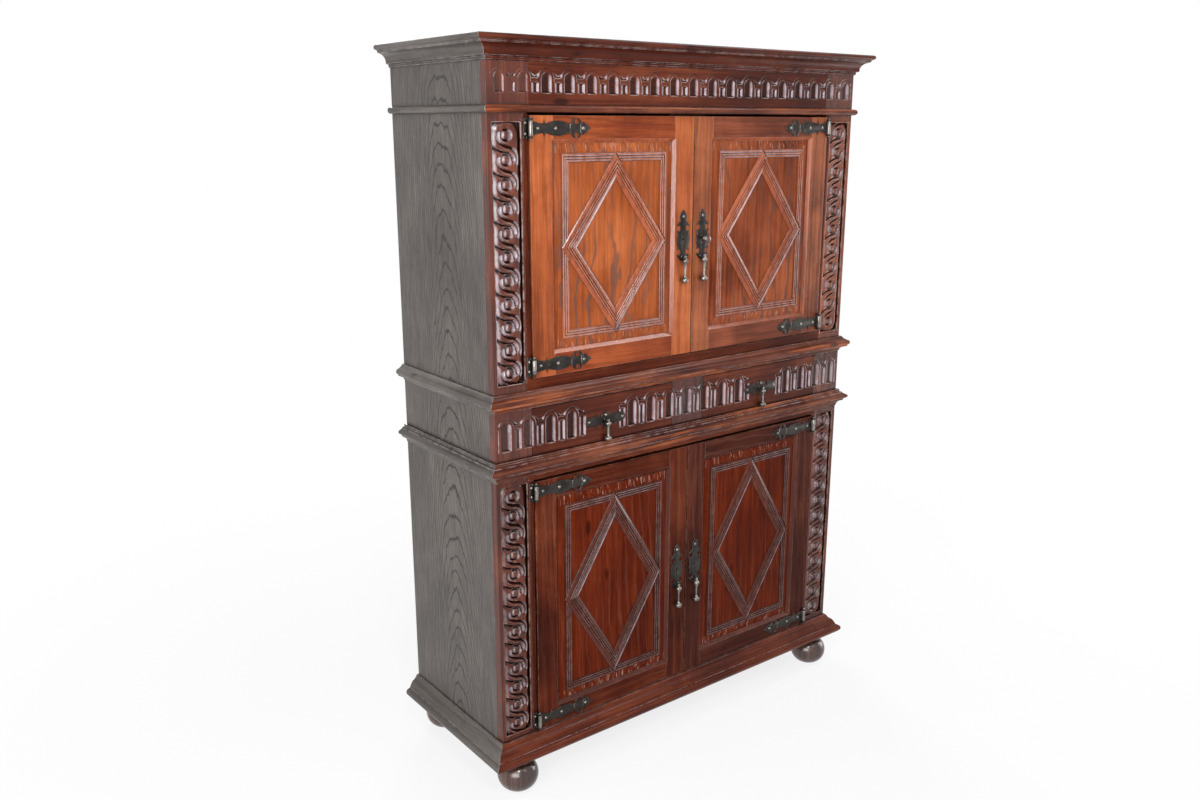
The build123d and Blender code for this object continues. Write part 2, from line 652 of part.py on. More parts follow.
def lock_case(z):
    """Box lock on the back of a right-hand door, slotted for its bolt, bored for the key's tip."""
    x0 = -MEETING_SIDE + LOCK_EDGE
    x1 = x0 + LOCK_WIDTH
    rear = DOOR_BACK + LOCK_DEPTH
    low, high = z - LOCK_HEIGHT / 2, z + LOCK_HEIGHT / 2
    wall = LOCK_WALL
    case = board(x0, x1, DOOR_BACK, rear, low, high)
    case -= board(x0 + wall, x1 - wall, DOOR_BACK, rear - wall, low + wall, high - wall)
    bolt_y = DOOR_BACK + BOLT_SETBACK
    case -= board(x0, x0 + wall, bolt_y - BOLT_PLAY, bolt_y + BOLT_T + BOLT_PLAY,
                  z + BOLT_RISE - BOLT_PLAY, z + BOLT_RISE + BOLT_HEIGHT + BOLT_PLAY)
    rest = -PLATE_X + KEY_BIT_R + 1.5
    case += board(rest, rest + BOLT_GUIDE, bolt_y, rear, z, z + BOLT_RISE - BOLT_PLAY)
    return case - rod(-PLATE_X, rear - wall / 2, z, KEY_R + KEY_PLAY, wall, "y")


def lock_bolt(z):
    """Sliding bolt, notched underneath for the key's bit."""
    x0 = -MEETING_SIDE + LOCK_EDGE + BOLT_INSET
    y0 = DOOR_BACK + BOLT_SETBACK
    low = z + BOLT_RISE
    middle = BOLT_THROW / 2 - PLATE_X
    bolt = board(x0, x0 + BOLT_LENGTH, y0, y0 + BOLT_T, low, low + BOLT_HEIGHT)
    return bolt - board(middle - BOLT_NOTCH[0] / 2, middle + BOLT_NOTCH[0] / 2, y0, y0 + BOLT_T,
                        low, low + BOLT_NOTCH[1])


def keeper(z):
    """Hollow keeper on the back of a left-hand door, open towards the bolt."""
    x1 = MEETING_SIDE - LOCK_EDGE
    x0 = x1 - KEEPER_WIDTH
    low = z + BOLT_RISE
    high = low + BOLT_HEIGHT
    bolt_y = DOOR_BACK + BOLT_SETBACK
    block = board(x0, x1, DOOR_BACK, DOOR_BACK + KEEPER_DEPTH, low - KEEPER_RIM, high + KEEPER_RIM)
    return block - board(x0 + LOCK_WALL, x1, bolt_y - KEEPER_PLAY, bolt_y + BOLT_T + KEEPER_PLAY,
                         low - KEEPER_PLAY, high + KEEPER_PLAY)


def door_key(z):
    """Key with a ring bow, standing in a right-hand door's lock with its bit hanging down."""
    x = -PLATE_X
    bow_y = FRONT - BOW_REACH + BOW_R
    tip = DOOR_BACK + LOCK_DEPTH
    neck = bow_y + (BOW_R + BOW_HOLE_R) / 2
    key = rod(x, (neck + tip) / 2, z, KEY_R, tip - neck, "y")
    key += rod(x, bow_y, z, BOW_R, BOW_T, "x") - rod(x, bow_y, z, BOW_HOLE_R, BOW_T, "x")
    key += rod(x, bow_y + BOW_R + KEY_COLLAR[1], z, *KEY_COLLAR, "y")
    bit = DOOR_BACK + BOLT_SETBACK + (BOLT_T - KEY_BIT_LENGTH) / 2
    return key + board(x - KEY_BIT_T / 2, x + KEY_BIT_T / 2, bit, bit + KEY_BIT_LENGTH, z - KEY_BIT_R, z)


def hang_doors(stage, z0, z1, rail, key_z):
    """Left and right doors of one stage: frames, panels, mouldings, ironwork, pulls."""
    face = DOOR_FACE - IRON_T
    strap_levels = (z0 + rail / 2, z1 - rail / 2)
    places = [(HINGE_X + along, face, z) for z in strap_levels for along in STRAP_NAILS]
    places.append((PLATE_X, face, key_z + PLATE_NAIL))
    nail_holes = [nail_hole(*place) for place in places]
    nails = [nail(*place) for place in places]
    plates = [plate - nail_holes for plate in (*map(strap, strap_levels), door_plate(key_z))]
    drop = pull(PLATE_X, DOOR_FACE, key_z - PULL_BELOW_KEYHOLE, PULL_LENGTH)
    panel = door_panel(z0, z1, rail)
    mouldings = panel_moulding(z0, z1, rail)
    for side, depth, extra in (("left", BLIND_KEYHOLE, [keeper(key_z)]), ("right", DOOR_T, [])):
        opening = keyhole(PLATE_X, key_z, DOOR_FACE, DOOR_FACE + depth)
        groups = {"door_frame": door_frame(z0, z1, rail, [*nail_holes, opening]),
                  "door_panel": [panel],
                  "panel_moulding": mouldings,
                  "door_ironwork": [*plates, *nails, *extra],
                  "door_pull": [drop]}
        for name, pieces in groups.items():
            if side == "right":
                pieces = [mirror(piece, about=Plane.YZ) for piece in pieces]
            save(f"{stage}_{side}_{name}", *pieces)
    save(f"{stage}_lock", lock_case(key_z))
    save(f"{stage}_lock_bolt", lock_bolt(key_z))
    return strap_levels


lower_sill, lower_head = Z_LOWER + SILL_GAP, Z_HEAD - HEAD_GAP
upper_sill, upper_head = Z_SILL + SILL_GAP, Z_FRIEZE - HEAD_GAP
lower_key = (lower_sill + lower_head) / 2 - LOWER_KEYHOLE_DROP
upper_key = (upper_sill + upper_head) / 2 - UPPER_KEYHOLE_DROP
hinge_levels = [*hang_doors("lower", lower_sill, lower_head, LOWER_DOOR_RAIL, lower_key),
                *hang_doors("upper", upper_sill, upper_head, UPPER_DOOR_RAIL, upper_key)]
save("key", door_key(upper_key))

leaf_places = [place for z in hinge_levels for place in leaf_nails(z)]
leaf_holes = [nail_hole(*place) for place in leaf_places]
strips = [board(-PILASTER_IN, -OPEN_HALF, FRONT, FRAME_BACK, Z_LOWER, Z_HEAD),
          board(-PILASTER_IN, -OPEN_HALF, FRONT, FRAME_BACK, Z_SILL, Z_FRIEZE)]
save("hanging_strips", *[twin for strip in strips for twin in pair(strip - leaf_holes)])
save("hinge_leaves",
     *[twin for z in hinge_levels for twin in pair(leaf(z) - leaf_holes)],
     *[twin for place in leaf_places for twin in pair(nail(*place))])

# ---------------------------------------------------------------- drawers


def drawer_box():
    """Sides, back and bottom of the left-hand drawer."""
    x0, x1 = DRAWER_GAP - DRAWER_OUT, -DRAWER_IN - DRAWER_GAP
    y0, y1 = FRONT + DRAWER_FRONT_T, BACK_FACE - DRAWER_REAR_GAP
    low = Z_DECK + RUNNING_GAP
    high = Z_WAIST - DRAWER_GAP - DRAWER_SIDE_DROP
    wall = DRAWER_SIDE_T
    base = low + DRAWER_BOTTOM_T
    return [board(x0, x0 + wall, y0, y1, low, high),
            board(x1 - wall, x1, y0, y1, low, high),
            board(x0 + wall, x1 - wall, y1 - wall, y1, low, high),
            board(x0 + wall, x1 - wall, y0, y1 - wall, base, base + DRAWER_BOTTOM_T)]


nail_spots = ((-PLATE_NAILS[0], 0), (PLATE_NAILS[0], 0), (0, PLATE_NAILS[1]))
plate_nails = [(x - DRAWER_PLATE_X, FRONT - IRON_T, PULL_Z + rise) for x, rise in nail_spots]
plate_holes = [nail_hole(*place) for place in plate_nails]
drawer_front = board(DRAWER_GAP - DRAWER_OUT, -DRAWER_IN - DRAWER_GAP, FRONT, FRONT + DRAWER_FRONT_T,
                     Z_DECK + DRAWER_GAP, Z_WAIST - DRAWER_GAP) - waist_niches - plate_holes
drawer_iron = [drawer_plate() - plate_holes, *[nail(*place) for place in plate_nails]]
drawer_drop = pull(-DRAWER_PLATE_X, FRONT, PULL_Z, DRAWER_PULL_LENGTH)
for side, hand in (("left", 0), ("right", 1)):
    save(f"{side}_drawer_front", pair(drawer_front)[hand])
    save(f"{side}_drawer_box", *[pair(piece)[hand] for piece in drawer_box()])
    save(f"{side}_drawer_ironwork", *[pair(piece)[hand] for piece in drawer_iron])
    save(f"{side}_drawer_pull", pair(drawer_drop)[hand])
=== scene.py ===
import bpy
import bmesh
import numpy as np
from math import atan2, cos, hypot, pi, radians, sin
from mathutils import Matrix, Vector


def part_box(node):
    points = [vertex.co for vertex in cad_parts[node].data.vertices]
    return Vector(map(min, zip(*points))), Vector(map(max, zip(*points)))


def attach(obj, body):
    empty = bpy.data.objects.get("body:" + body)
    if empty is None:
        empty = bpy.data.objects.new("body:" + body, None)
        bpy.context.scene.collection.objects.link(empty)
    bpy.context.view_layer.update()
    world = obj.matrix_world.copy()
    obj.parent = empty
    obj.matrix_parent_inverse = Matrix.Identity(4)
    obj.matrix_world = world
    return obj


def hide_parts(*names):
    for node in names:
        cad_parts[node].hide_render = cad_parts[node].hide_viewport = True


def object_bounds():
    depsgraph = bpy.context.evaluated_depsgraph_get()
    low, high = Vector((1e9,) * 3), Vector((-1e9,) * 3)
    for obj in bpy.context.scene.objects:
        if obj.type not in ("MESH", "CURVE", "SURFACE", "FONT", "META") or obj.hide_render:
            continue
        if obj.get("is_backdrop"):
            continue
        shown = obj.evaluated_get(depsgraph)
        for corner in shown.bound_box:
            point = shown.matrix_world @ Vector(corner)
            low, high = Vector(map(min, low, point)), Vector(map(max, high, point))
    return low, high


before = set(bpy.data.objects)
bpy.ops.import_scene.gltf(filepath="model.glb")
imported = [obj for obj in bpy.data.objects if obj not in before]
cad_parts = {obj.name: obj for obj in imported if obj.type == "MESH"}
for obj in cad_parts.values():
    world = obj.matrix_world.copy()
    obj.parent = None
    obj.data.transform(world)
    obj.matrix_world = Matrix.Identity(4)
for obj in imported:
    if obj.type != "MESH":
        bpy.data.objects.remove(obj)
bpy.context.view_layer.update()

MM = 0.001

# the cabinet's own places, in millimetres
HALF = 610
FRONT = -204
FRAME_BACK = -180
PILASTER_IN = 517
FRIEZE_SEAM = 500
FRIEZE_LOW, FRIEZE_HIGH = 1704, 1850
WAIST_LOW, WAIST_HIGH = 898, 1018
BLOCK_SEAM, MUNTIN_HALF = 505, 55
DRAWER_IN, DRAWER_OUT = 56.5, 503.5
DRAWER_LOW, DRAWER_HIGH = 899.5, 1016.5
ARCH_PITCH = 2 * HALF / 19

# ---- camera and lights

camera = bpy.data.objects.new("camera", bpy.data.cameras.new("camera"))
bpy.context.collection.objects.link(camera)
camera.data.sensor_width = 36
camera.data.lens = 31.716
camera.rotation_euler = (radians(75.48), 0, radians(-37.53))
camera.location = (-1.871, -2.252, 1.675)
bpy.context.scene.camera = camera
bpy.context.scene.view_settings.view_transform = "Standard"


def lamp(name, width, height, place, target, power):
    """Soft box that faces a target."""
    light = bpy.data.lights.new(name, "AREA")
    light.shape = "RECTANGLE"
    light.size, light.size_y = width, height
    light.energy = power
    holder = bpy.data.objects.new(name, light)
    bpy.context.collection.objects.link(holder)
    holder.location = place
    holder.rotation_euler = (Vector(target) - Vector(place)).to_track_quat("-Z", "Y").to_euler()


lamp("key_box", 0.6, 0.6, (-1.5, -2.3, 2.9), (-0.1, -0.2, 1.4), 34)
lamp("window_box", 2.0, 1.5, (-2.55, -2.05, 1.45), (-0.2, -0.2, 1.2), 88)
lamp("right_box", 1.1, 1.7, (2.9, -0.80, 0.90), (0.1, -0.2, 1.1), 28)
lamp("top_box", 1.0, 1.0, (1.4, -0.7, 3.3), (0, -0.2, 1.2), 22)
lamp("front_box", 0.8, 0.8, (0.5, -3.2, 3.0), (0, -0.2, 1.1), 8)
lamp("side_box", 1.3, 1.3, (-3.0, 1.2, 2.0), (-0.6, 0, 1.1), 18)
lamp("back_box", 1.6, 1.6, (1.4, 3.2, 2.3), (0, 0.2, 1.0), 70)


class Recipe:
    """Nodes of a material or the world, added one after another."""

    def __init__(self, owner):
        owner.use_nodes = True
        self.owner = owner
        self.tree = owner.node_tree
        self.surface = self.tree.nodes.get("Principled BSDF")

    def connect(self, socket, value):
        if isinstance(value, bpy.types.NodeSocket):
            self.tree.links.new(value, socket)
        else:
            socket.default_value = value

    def add(self, kind, sockets=(), **settings):
        made = self.tree.nodes.new("ShaderNode" + kind)
        for name, value in settings.items():
            setattr(made, name, value)
        for name, value in dict(sockets).items():
            self.connect(made.inputs[name], value)
        return made

    def math(self, operation, first, second=0.0, clamp=False):
        return self.add("Math", {0: first, 1: second}, operation=operation, use_clamp=clamp).outputs[0]

    def times(self, first, second):
        return self.add("Math", {0: first, 1: second}, operation="MULTIPLY").outputs[0]

    def along(self, first, second):
        """Cosine of the angle between two directions."""
        return self.add("VectorMath", {0: first, 1: second}, operation="DOT_PRODUCT").outputs["Value"]

    def looked_at(self):
        """1 for rays that see the surroundings, 0 for those that carry light."""
        rays = self.add("LightPath").outputs
        either = self.math("MAXIMUM", rays["Is Glossy Ray"], rays["Is Transmission Ray"])
        return self.math("MAXIMUM", rays["Is Camera Ray"], either)

    def spread(self, value, low, high, to_low=0.0, to_high=1.0):
        """Value from low to high mapped smoothly onto another range."""
        sockets = {"Value": value, "From Min": low, "From Max": high, "To Min": to_low, "To Max": to_high}
        return self.add("MapRange", sockets, interpolation_type="SMOOTHSTEP").outputs[0]

    def mix(self, amount, first, second):
        return self.add("Mix", {0: amount, 6: first, 7: second}, data_type="RGBA").outputs[2]

    def noise(self, place, scale, detail, roughness=0.55, distortion=0.0):
        sockets = {"Vector": place, "Scale": scale, "Detail": detail, "Roughness": roughness,
                   "Distortion": distortion}
        return self.add("TexNoise", sockets).outputs[0]

    def ramp(self, value, *stops):
        """Colours at positions along a value."""
        made = self.add("ValToRGB", {0: value})
        elements = made.color_ramp.elements
        while len(elements) < len(stops):
            elements.new(0.5)
        for element, (position, colour) in zip(elements, stops):
            element.position = position
            element.color = (*colour, 1)
        return made.outputs[0]

    def stretched(self, place, along, across):
        """Place scaled so that a pattern runs long along local Z."""
        return self.add("Mapping", {"Vector": place, "Scale": (across, across, along)}).outputs[0]


# ---- wood and iron

UPRIGHT, LEVEL, RAILS, WRAPPED, SIDE = "upright", "level", "rails", "wrapped", "side"

# in metres: seam and rise of the upper stage, heart of the side boards, inner edges of a door's stiles
STAGE_SEAM, STAGE_RISE = 1.03, 0.93
HEART_BACK, HEART_LEAN = 0.10, 0.11
MEETING_STILE, HINGE_STILE = 0.0655, 0.438


def grain_place(recipe, run):
    """Object place turned so that its Z follows the grain, and where rails or side returns lie."""
    place = recipe.add("TexCoord").outputs["Object"]
    if run == UPRIGHT:
        return place, None
    part = recipe.add("SeparateXYZ", {0: place}).outputs
    level = recipe.add("CombineXYZ", {0: part[2], 1: part[1], 2: part[0]}).outputs[0]
    if run == LEVEL:
        return level, None
    away = recipe.math("ABSOLUTE", part[0])
    if run == SIDE:
        upper = recipe.math("GREATER_THAN", part[2], STAGE_SEAM)
        rise = recipe.math("SUBTRACT", part[2], recipe.times(upper, STAGE_RISE))
        lean = recipe.math("ADD", recipe.times(rise, HEART_LEAN), HEART_BACK)
        deep = recipe.math("ADD", recipe.math("SUBTRACT", away, HALF * MM), lean)
        return recipe.add("CombineXYZ", {0: deep, 1: part[1], 2: part[2]}).outputs[0], None
    if run == RAILS:
        outer = recipe.math("GREATER_THAN", away, MEETING_STILE)
        inner = recipe.math("LESS_THAN", away, HINGE_STILE)
        between = recipe.times(outer, inner)
        return vector_choice(recipe, between, place, level), between
    out = recipe.math("SUBTRACT", away, HALF * MM)
    forward = recipe.math("SUBTRACT", FRONT * MM, part[1])
    on_side = recipe.math("GREATER_THAN", out, forward)
    along_side = recipe.add("CombineXYZ", {0: part[0], 1: part[2], 2: part[1]}).outputs[0]
    return vector_choice(recipe, on_side, level, along_side), on_side


def vector_choice(recipe, amount, first, second):
    return recipe.add("Mix", {0: amount, 4: first, 5: second}, data_type="VECTOR").outputs[1]


def shade(colour, share=1.0):
    """A share of a colour, with full alpha."""
    return (*[part * share for part in colour], 1)


def oiled_wood(name, dark, middle, light, run, gloss=0.36, shine=0.14, veins=0.45, vein=None, rings=9.0,
               tilt=3.0, sway=0.06, wear=0.6, worn=(0.52, 0.36, 0.28), crests=False, seed=0.0, pores=0.45,
               shade_in_corners=0.8, clouds=0.8, turned=None, edge=0.0015, bare=None, ticks=None, painted_sheens=()):
    """Stained and polished hardwood: streaks, veins, pores, knots, rubbed edges and painted shade in corners
    and hollows.
    A painted sheen (direction, begin, full, amount, deepest) is a painted highlight: pale colour on facets
    that face a direction."""
    r = Recipe(bpy.data.materials.new(name))
    place, elsewhere = grain_place(r, run)
    moved = r.add("Mapping", {"Vector": place, "Location": (seed, seed * 0.37, seed * 0.11)}).outputs[0]
    wander = r.noise(r.stretched(moved, 2.0, 6.0), 1.0, 4.0, 0.6)
    wander = r.times(r.math("SUBTRACT", wander, 0.5), sway)
    heart = place
    if run != SIDE:
        heart = r.add("Mapping", {"Vector": moved, "Location": (0.11, 0.52, 0.0),
                                  "Rotation": (radians(tilt), radians(tilt * 0.8), 0.0)}).outputs[0]
    shift = r.add("CombineXYZ", {0: wander, 1: wander, 2: 0.0}).outputs[0]
    bent = r.add("VectorMath", {0: heart, 1: shift}, operation="ADD").outputs[0]
    growth = r.add("TexWave", {"Vector": bent, "Scale": rings, "Distortion": 0.9, "Detail": 3.0,
                               "Detail Scale": 2.0, "Detail Roughness": 0.6},
                   wave_type="RINGS", rings_direction="Z", wave_profile="SIN").outputs["Fac"]
    patch = r.spread(r.noise(moved, 3.1, 2.0), 0.36, 0.66, 0.2, 1.0)
    line = r.spread(growth, 0.90, 1.0) if run == SIDE else r.times(r.spread(growth, 0.80, 1.0), patch)
    streaks = r.noise(r.stretched(moved, 3.0, 90.0), 1.0, 5.0, 0.60)
    fine = r.noise(r.stretched(moved, 9.0, 420.0), 1.0, 3.0, 0.6)
    pore = r.spread(r.noise(r.stretched(moved, 34.0, 760.0), 1.0, 3.0, 0.6), 0.56, 0.70)
    blotch = r.noise(moved, 3.4, 4.0, 0.55, 0.5)
    tone = r.math("ADD", r.times(streaks, 0.62), r.times(fine, 0.38))
    tone = r.math("ADD", tone, r.times(r.math("SUBTRACT", blotch, 0.5), clouds), clamp=True)
    colour = r.ramp(tone, (0.26, dark), (0.50, middle), (0.76, light))
    if bare:
        through = r.spread(r.noise(r.stretched(moved, 2.2, 42.0), 1.0, 4.0, 0.6), 0.51, 0.62, 0.0, 0.80)
        colour = r.mix(through, colour, shade(bare))
    if turned:
        other = r.ramp(tone, *zip((0.26, 0.50, 0.76), turned))
        colour = r.mix(elsewhere, colour, other)
    if ticks:
        low, high = ticks
        height = r.add("SeparateXYZ", {0: place}).outputs[2]
        beyond = r.math("ADD", r.math("LESS_THAN", height, low), r.math("GREATER_THAN", height, high))
        marks = r.spread(r.noise(r.stretched(moved, 5.0, 230.0), 1.0, 2.0, 0.5), 0.57, 0.66, 0.0, 0.42)
        facing = r.add("SeparateXYZ", {0: r.add("TexCoord").outputs["Normal"]}).outputs[1]
        marks = r.times(marks, r.math("LESS_THAN", facing, -0.5))
        colour = r.mix(r.times(beyond, marks), colour, shade(TICK))
    colour = r.mix(r.times(line, veins), colour, shade(vein) if vein else shade(dark, 0.45))
    colour = r.mix(r.times(pore, pores), colour, shade(dark, 0.4))
    knot = r.spread(r.add("TexVoronoi", {"Vector": r.stretched(moved, 3.6, 8.5), "Scale": 1.0}).outputs[0],
                    0.10, 0.045)
    colour = r.mix(r.times(knot, 0.7), colour, shade(dark, 0.35))
    # painted shade: darker in corners and creases, where less light reaches
    near = r.add("AmbientOcclusion", {"Distance": 0.012}, samples=6).outputs["AO"]
    corner = r.times(r.spread(near, 0.90, 0.35), shade_in_corners)
    flat = r.add("NewGeometry").outputs["Normal"]
    if crests:
        proud = r.add("Attribute", attribute_name="proud").outputs["Fac"]
        sunk = r.add("Attribute", attribute_name="sunk").outputs["Fac"]
        # pale crests: rubbed wear and painted highlight
        crest = r.spread(proud, 0.20, 0.90)
        # painted shade: darker in grooves and hollows, and darker the deeper a point is sunk
        corner = r.math("MAXIMUM", corner, r.times(r.spread(proud, -0.10, -0.6), shade_in_corners))
        colour = r.mix(r.spread(sunk, 1.2, 7.0, 0.0, 0.75), colour, shade(dark, 0.55))
        shading = flat
    else:
        shading = r.add("Bevel", {"Radius": edge}, samples=4).outputs[0]
        crest = r.spread(r.along(shading, flat), 0.995, 0.90)
    patchy = r.spread(r.noise(moved, 38.0, 4.0, 0.65), 0.36, 0.62)
    # rubbed: pale colour on edges and crests, real wear and in part painted highlight
    rubbed = r.times(r.times(crest, patchy), wear)
    colour = r.mix(corner, colour, shade(dark, 0.16))
    colour = r.mix(rubbed, colour, shade(worn))
    # painted sheen: pale colour on facets that face a direction, in place of lamp highlights
    for toward, begin, full, amount, deepest in painted_sheens:
        facing = r.along(r.add("TexCoord").outputs["Normal"], toward)
        painted_sheen = r.times(r.spread(facing, begin, full, 0.0, amount), r.spread(sunk, deepest, deepest - 1.0))
        painted_sheen = r.times(painted_sheen, r.spread(facing, 0.96, 0.88))
        painted_sheen = r.times(painted_sheen, r.spread(patchy, 0.0, 1.0, 0.55, 1.0))
        colour = r.mix(painted_sheen, colour, shade(PAINTED_SHEEN))
    r.connect(r.surface.inputs["Base Color"], colour)
    dull = r.math("ADD", r.spread(blotch, 0.3, 0.75, gloss - 0.05, gloss + 0.12), r.times(pore, 0.15))
    r.connect(r.surface.inputs["Roughness"], dull)
    relief = r.math("ADD", r.times(pore, -0.8), r.times(fine, 0.4))
    relief = r.math("ADD", relief, r.times(line, -0.8))
    bump = r.add("Bump", {"Height": relief, "Strength": 0.28, "Distance": 0.0005, "Normal": shading})
    r.connect(r.surface.inputs["Normal"], bump.outputs[0])
    r.surface.inputs["Specular IOR Level"].default_value = shine
    return r.owner


def forged_iron(name, dark, worn, dull, wear):
    """Blackened hand-forged iron, hammered, with rubbed edges and a little rust."""
    r = Recipe(bpy.data.materials.new(name))
    place = r.add("TexCoord").outputs["Object"]
    rounded = r.add("Bevel", {"Radius": 0.0009}, samples=4).outputs[0]
    edge = r.spread(r.along(rounded, r.add("NewGeometry").outputs["Normal"]), 0.995, 0.88)
    spots = r.noise(place, 130.0, 5.0, 0.6)
    clouds = r.noise(place, 34.0, 4.0, 0.6)
    colour = r.mix(r.spread(clouds, 0.35, 0.65), shade(dark), shade(dark, 1.9))
    rust = r.times(r.spread(r.noise(place, 60.0, 4.0, 0.7), 0.58, 0.72), 0.5)
    colour = r.mix(rust, colour, shade(RUST))
    rubbed = r.times(r.times(edge, r.spread(spots, 0.3, 0.6)), wear)
    colour = r.mix(rubbed, colour, shade(worn))
    r.connect(r.surface.inputs["Base Color"], colour)
    r.connect(r.surface.inputs["Metallic"], r.spread(rust, 0.5, 0.0, 0.35, 0.85))
    r.connect(r.surface.inputs["Roughness"], r.spread(clouds, 0.3, 0.7, dull, dull + 0.2))
    hammered = r.add("TexVoronoi", {"Vector": place, "Scale": 150.0, "Smoothness": 0.8},
                     feature="SMOOTH_F1").outputs[0]
    bump = r.add("Bump", {"Height": hammered, "Strength": 0.35, "Distance": 0.0012, "Normal": rounded})
    r.connect(r.surface.inputs["Normal"], bump.outputs[0])
    return r.owner


# GREY: the sides, the top and the mouldings' side returns; the wood's own dark brown with painted sheen of
# the bright surroundings
GREY = ((0.046, 0.038, 0.034), (0.092, 0.080, 0.073), (0.150, 0.134, 0.123))
ORANGE = ((0.160, 0.032, 0.008), (0.345, 0.083, 0.024), (0.53, 0.155, 0.052))
ORANGE_RAIL = ((0.085, 0.013, 0.003), (0.185, 0.031, 0.007), (0.33, 0.074, 0.020))
# TAWNY and RUSSET, the upper right door's woods, are darker than the left door's ORANGE: partly painted
# shade, as the light comes from the left
TAWNY = ((0.115, 0.027, 0.009), (0.250, 0.068, 0.025), (0.39, 0.120, 0.048))
TAWNY_RAIL = ((0.060, 0.011, 0.004), (0.135, 0.028, 0.010), (0.25, 0.062, 0.026))
RUSSET = ((0.095, 0.018, 0.006), (0.225, 0.050, 0.017), (0.37, 0.100, 0.036))
REED_RED = ((0.110, 0.022, 0.007), (0.260, 0.056, 0.018), (0.42, 0.110, 0.038))
# MAHOGANY, CRIMSON and DUSKY, the lower doors' woods, are darker than the upper doors': partly their own
# colour, partly painted shade of light that falls off downwards
MAHOGANY = ((0.026, 0.004, 0.002), (0.068, 0.0115, 0.004), (0.145, 0.032, 0.013))
CRIMSON = ((0.042, 0.005, 0.002), (0.102, 0.013, 0.003), (0.175, 0.030, 0.008))
ORANGE_FIELD = ((0.140, 0.028, 0.007), (0.295, 0.070, 0.020), (0.46, 0.130, 0.043))
POLISHED_RED = ((0.028, 0.0045, 0.002), (0.074, 0.0125, 0.0045), (0.170, 0.039, 0.015))
DEEP_RED = ((0.026, 0.005, 0.003), (0.070, 0.013, 0.006), (0.180, 0.042, 0.017))
HIGH_RED = ((0.040, 0.009, 0.006), (0.110, 0.027, 0.014), (0.27, 0.082, 0.034))
WARM_RED = ((0.055, 0.011, 0.005), (0.150, 0.035, 0.015), (0.31, 0.090, 0.040))
DUSKY = ((0.020, 0.004, 0.0025), (0.050, 0.0105, 0.006), (0.110, 0.028, 0.015))
# the first colour is the pale colour of painted highlights, then end-grain marks and rust
PAINTED_SHEEN, TICK, RUST = (0.52, 0.43, 0.47), (0.50, 0.33, 0.27), (0.07, 0.035, 0.02)

# directions of facets that get painted sheen
LEFTWARD, RIGHTWARD, DOWN_RIGHT = (-1.0, 0.0, 0.0), (1.0, 0.0, 0.0), (0.79, 0.0, -0.61)
ANY_DEPTH = 99.0

upper_field = [corner[2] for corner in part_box("upper_left_panel_moulding")]
lower_field = [corner[2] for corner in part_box("lower_left_panel_moulding")]

# what several woods share
AGED = dict(vein=(0.014, 0.012, 0.011), wear=0.35, worn=(0.26, 0.24, 0.22))
UPPER_FRAME = dict(gloss=0.30, shine=0.18, clouds=1.2, pores=0.6)
LOWER_FRAME = dict(shine=0.05, veins=0.22, rings=12.0, tilt=7.0, clouds=1.1)
UPPER_PANEL = dict(shine=0.07, rings=7.0, clouds=1.0, ticks=upper_field)
# mouldings: pale lavender rubbed edges, wear with painted highlight
MOULDED = dict(gloss=0.24, veins=0.25, wear=0.95, worn=(0.46, 0.40, 0.40), shade_in_corners=0.9, turned=GREY, edge=0.002)
CARVED = dict(veins=0.15, crests=True, shade_in_corners=0.97)
UPPER_BEAD = dict(gloss=0.16, shine=0.42, veins=0.0, crests=True, wear=0.30, worn=(0.50, 0.33, 0.28))
LOWER_BEAD = dict(veins=0.0, crests=True, worn=(0.36, 0.25, 0.23))

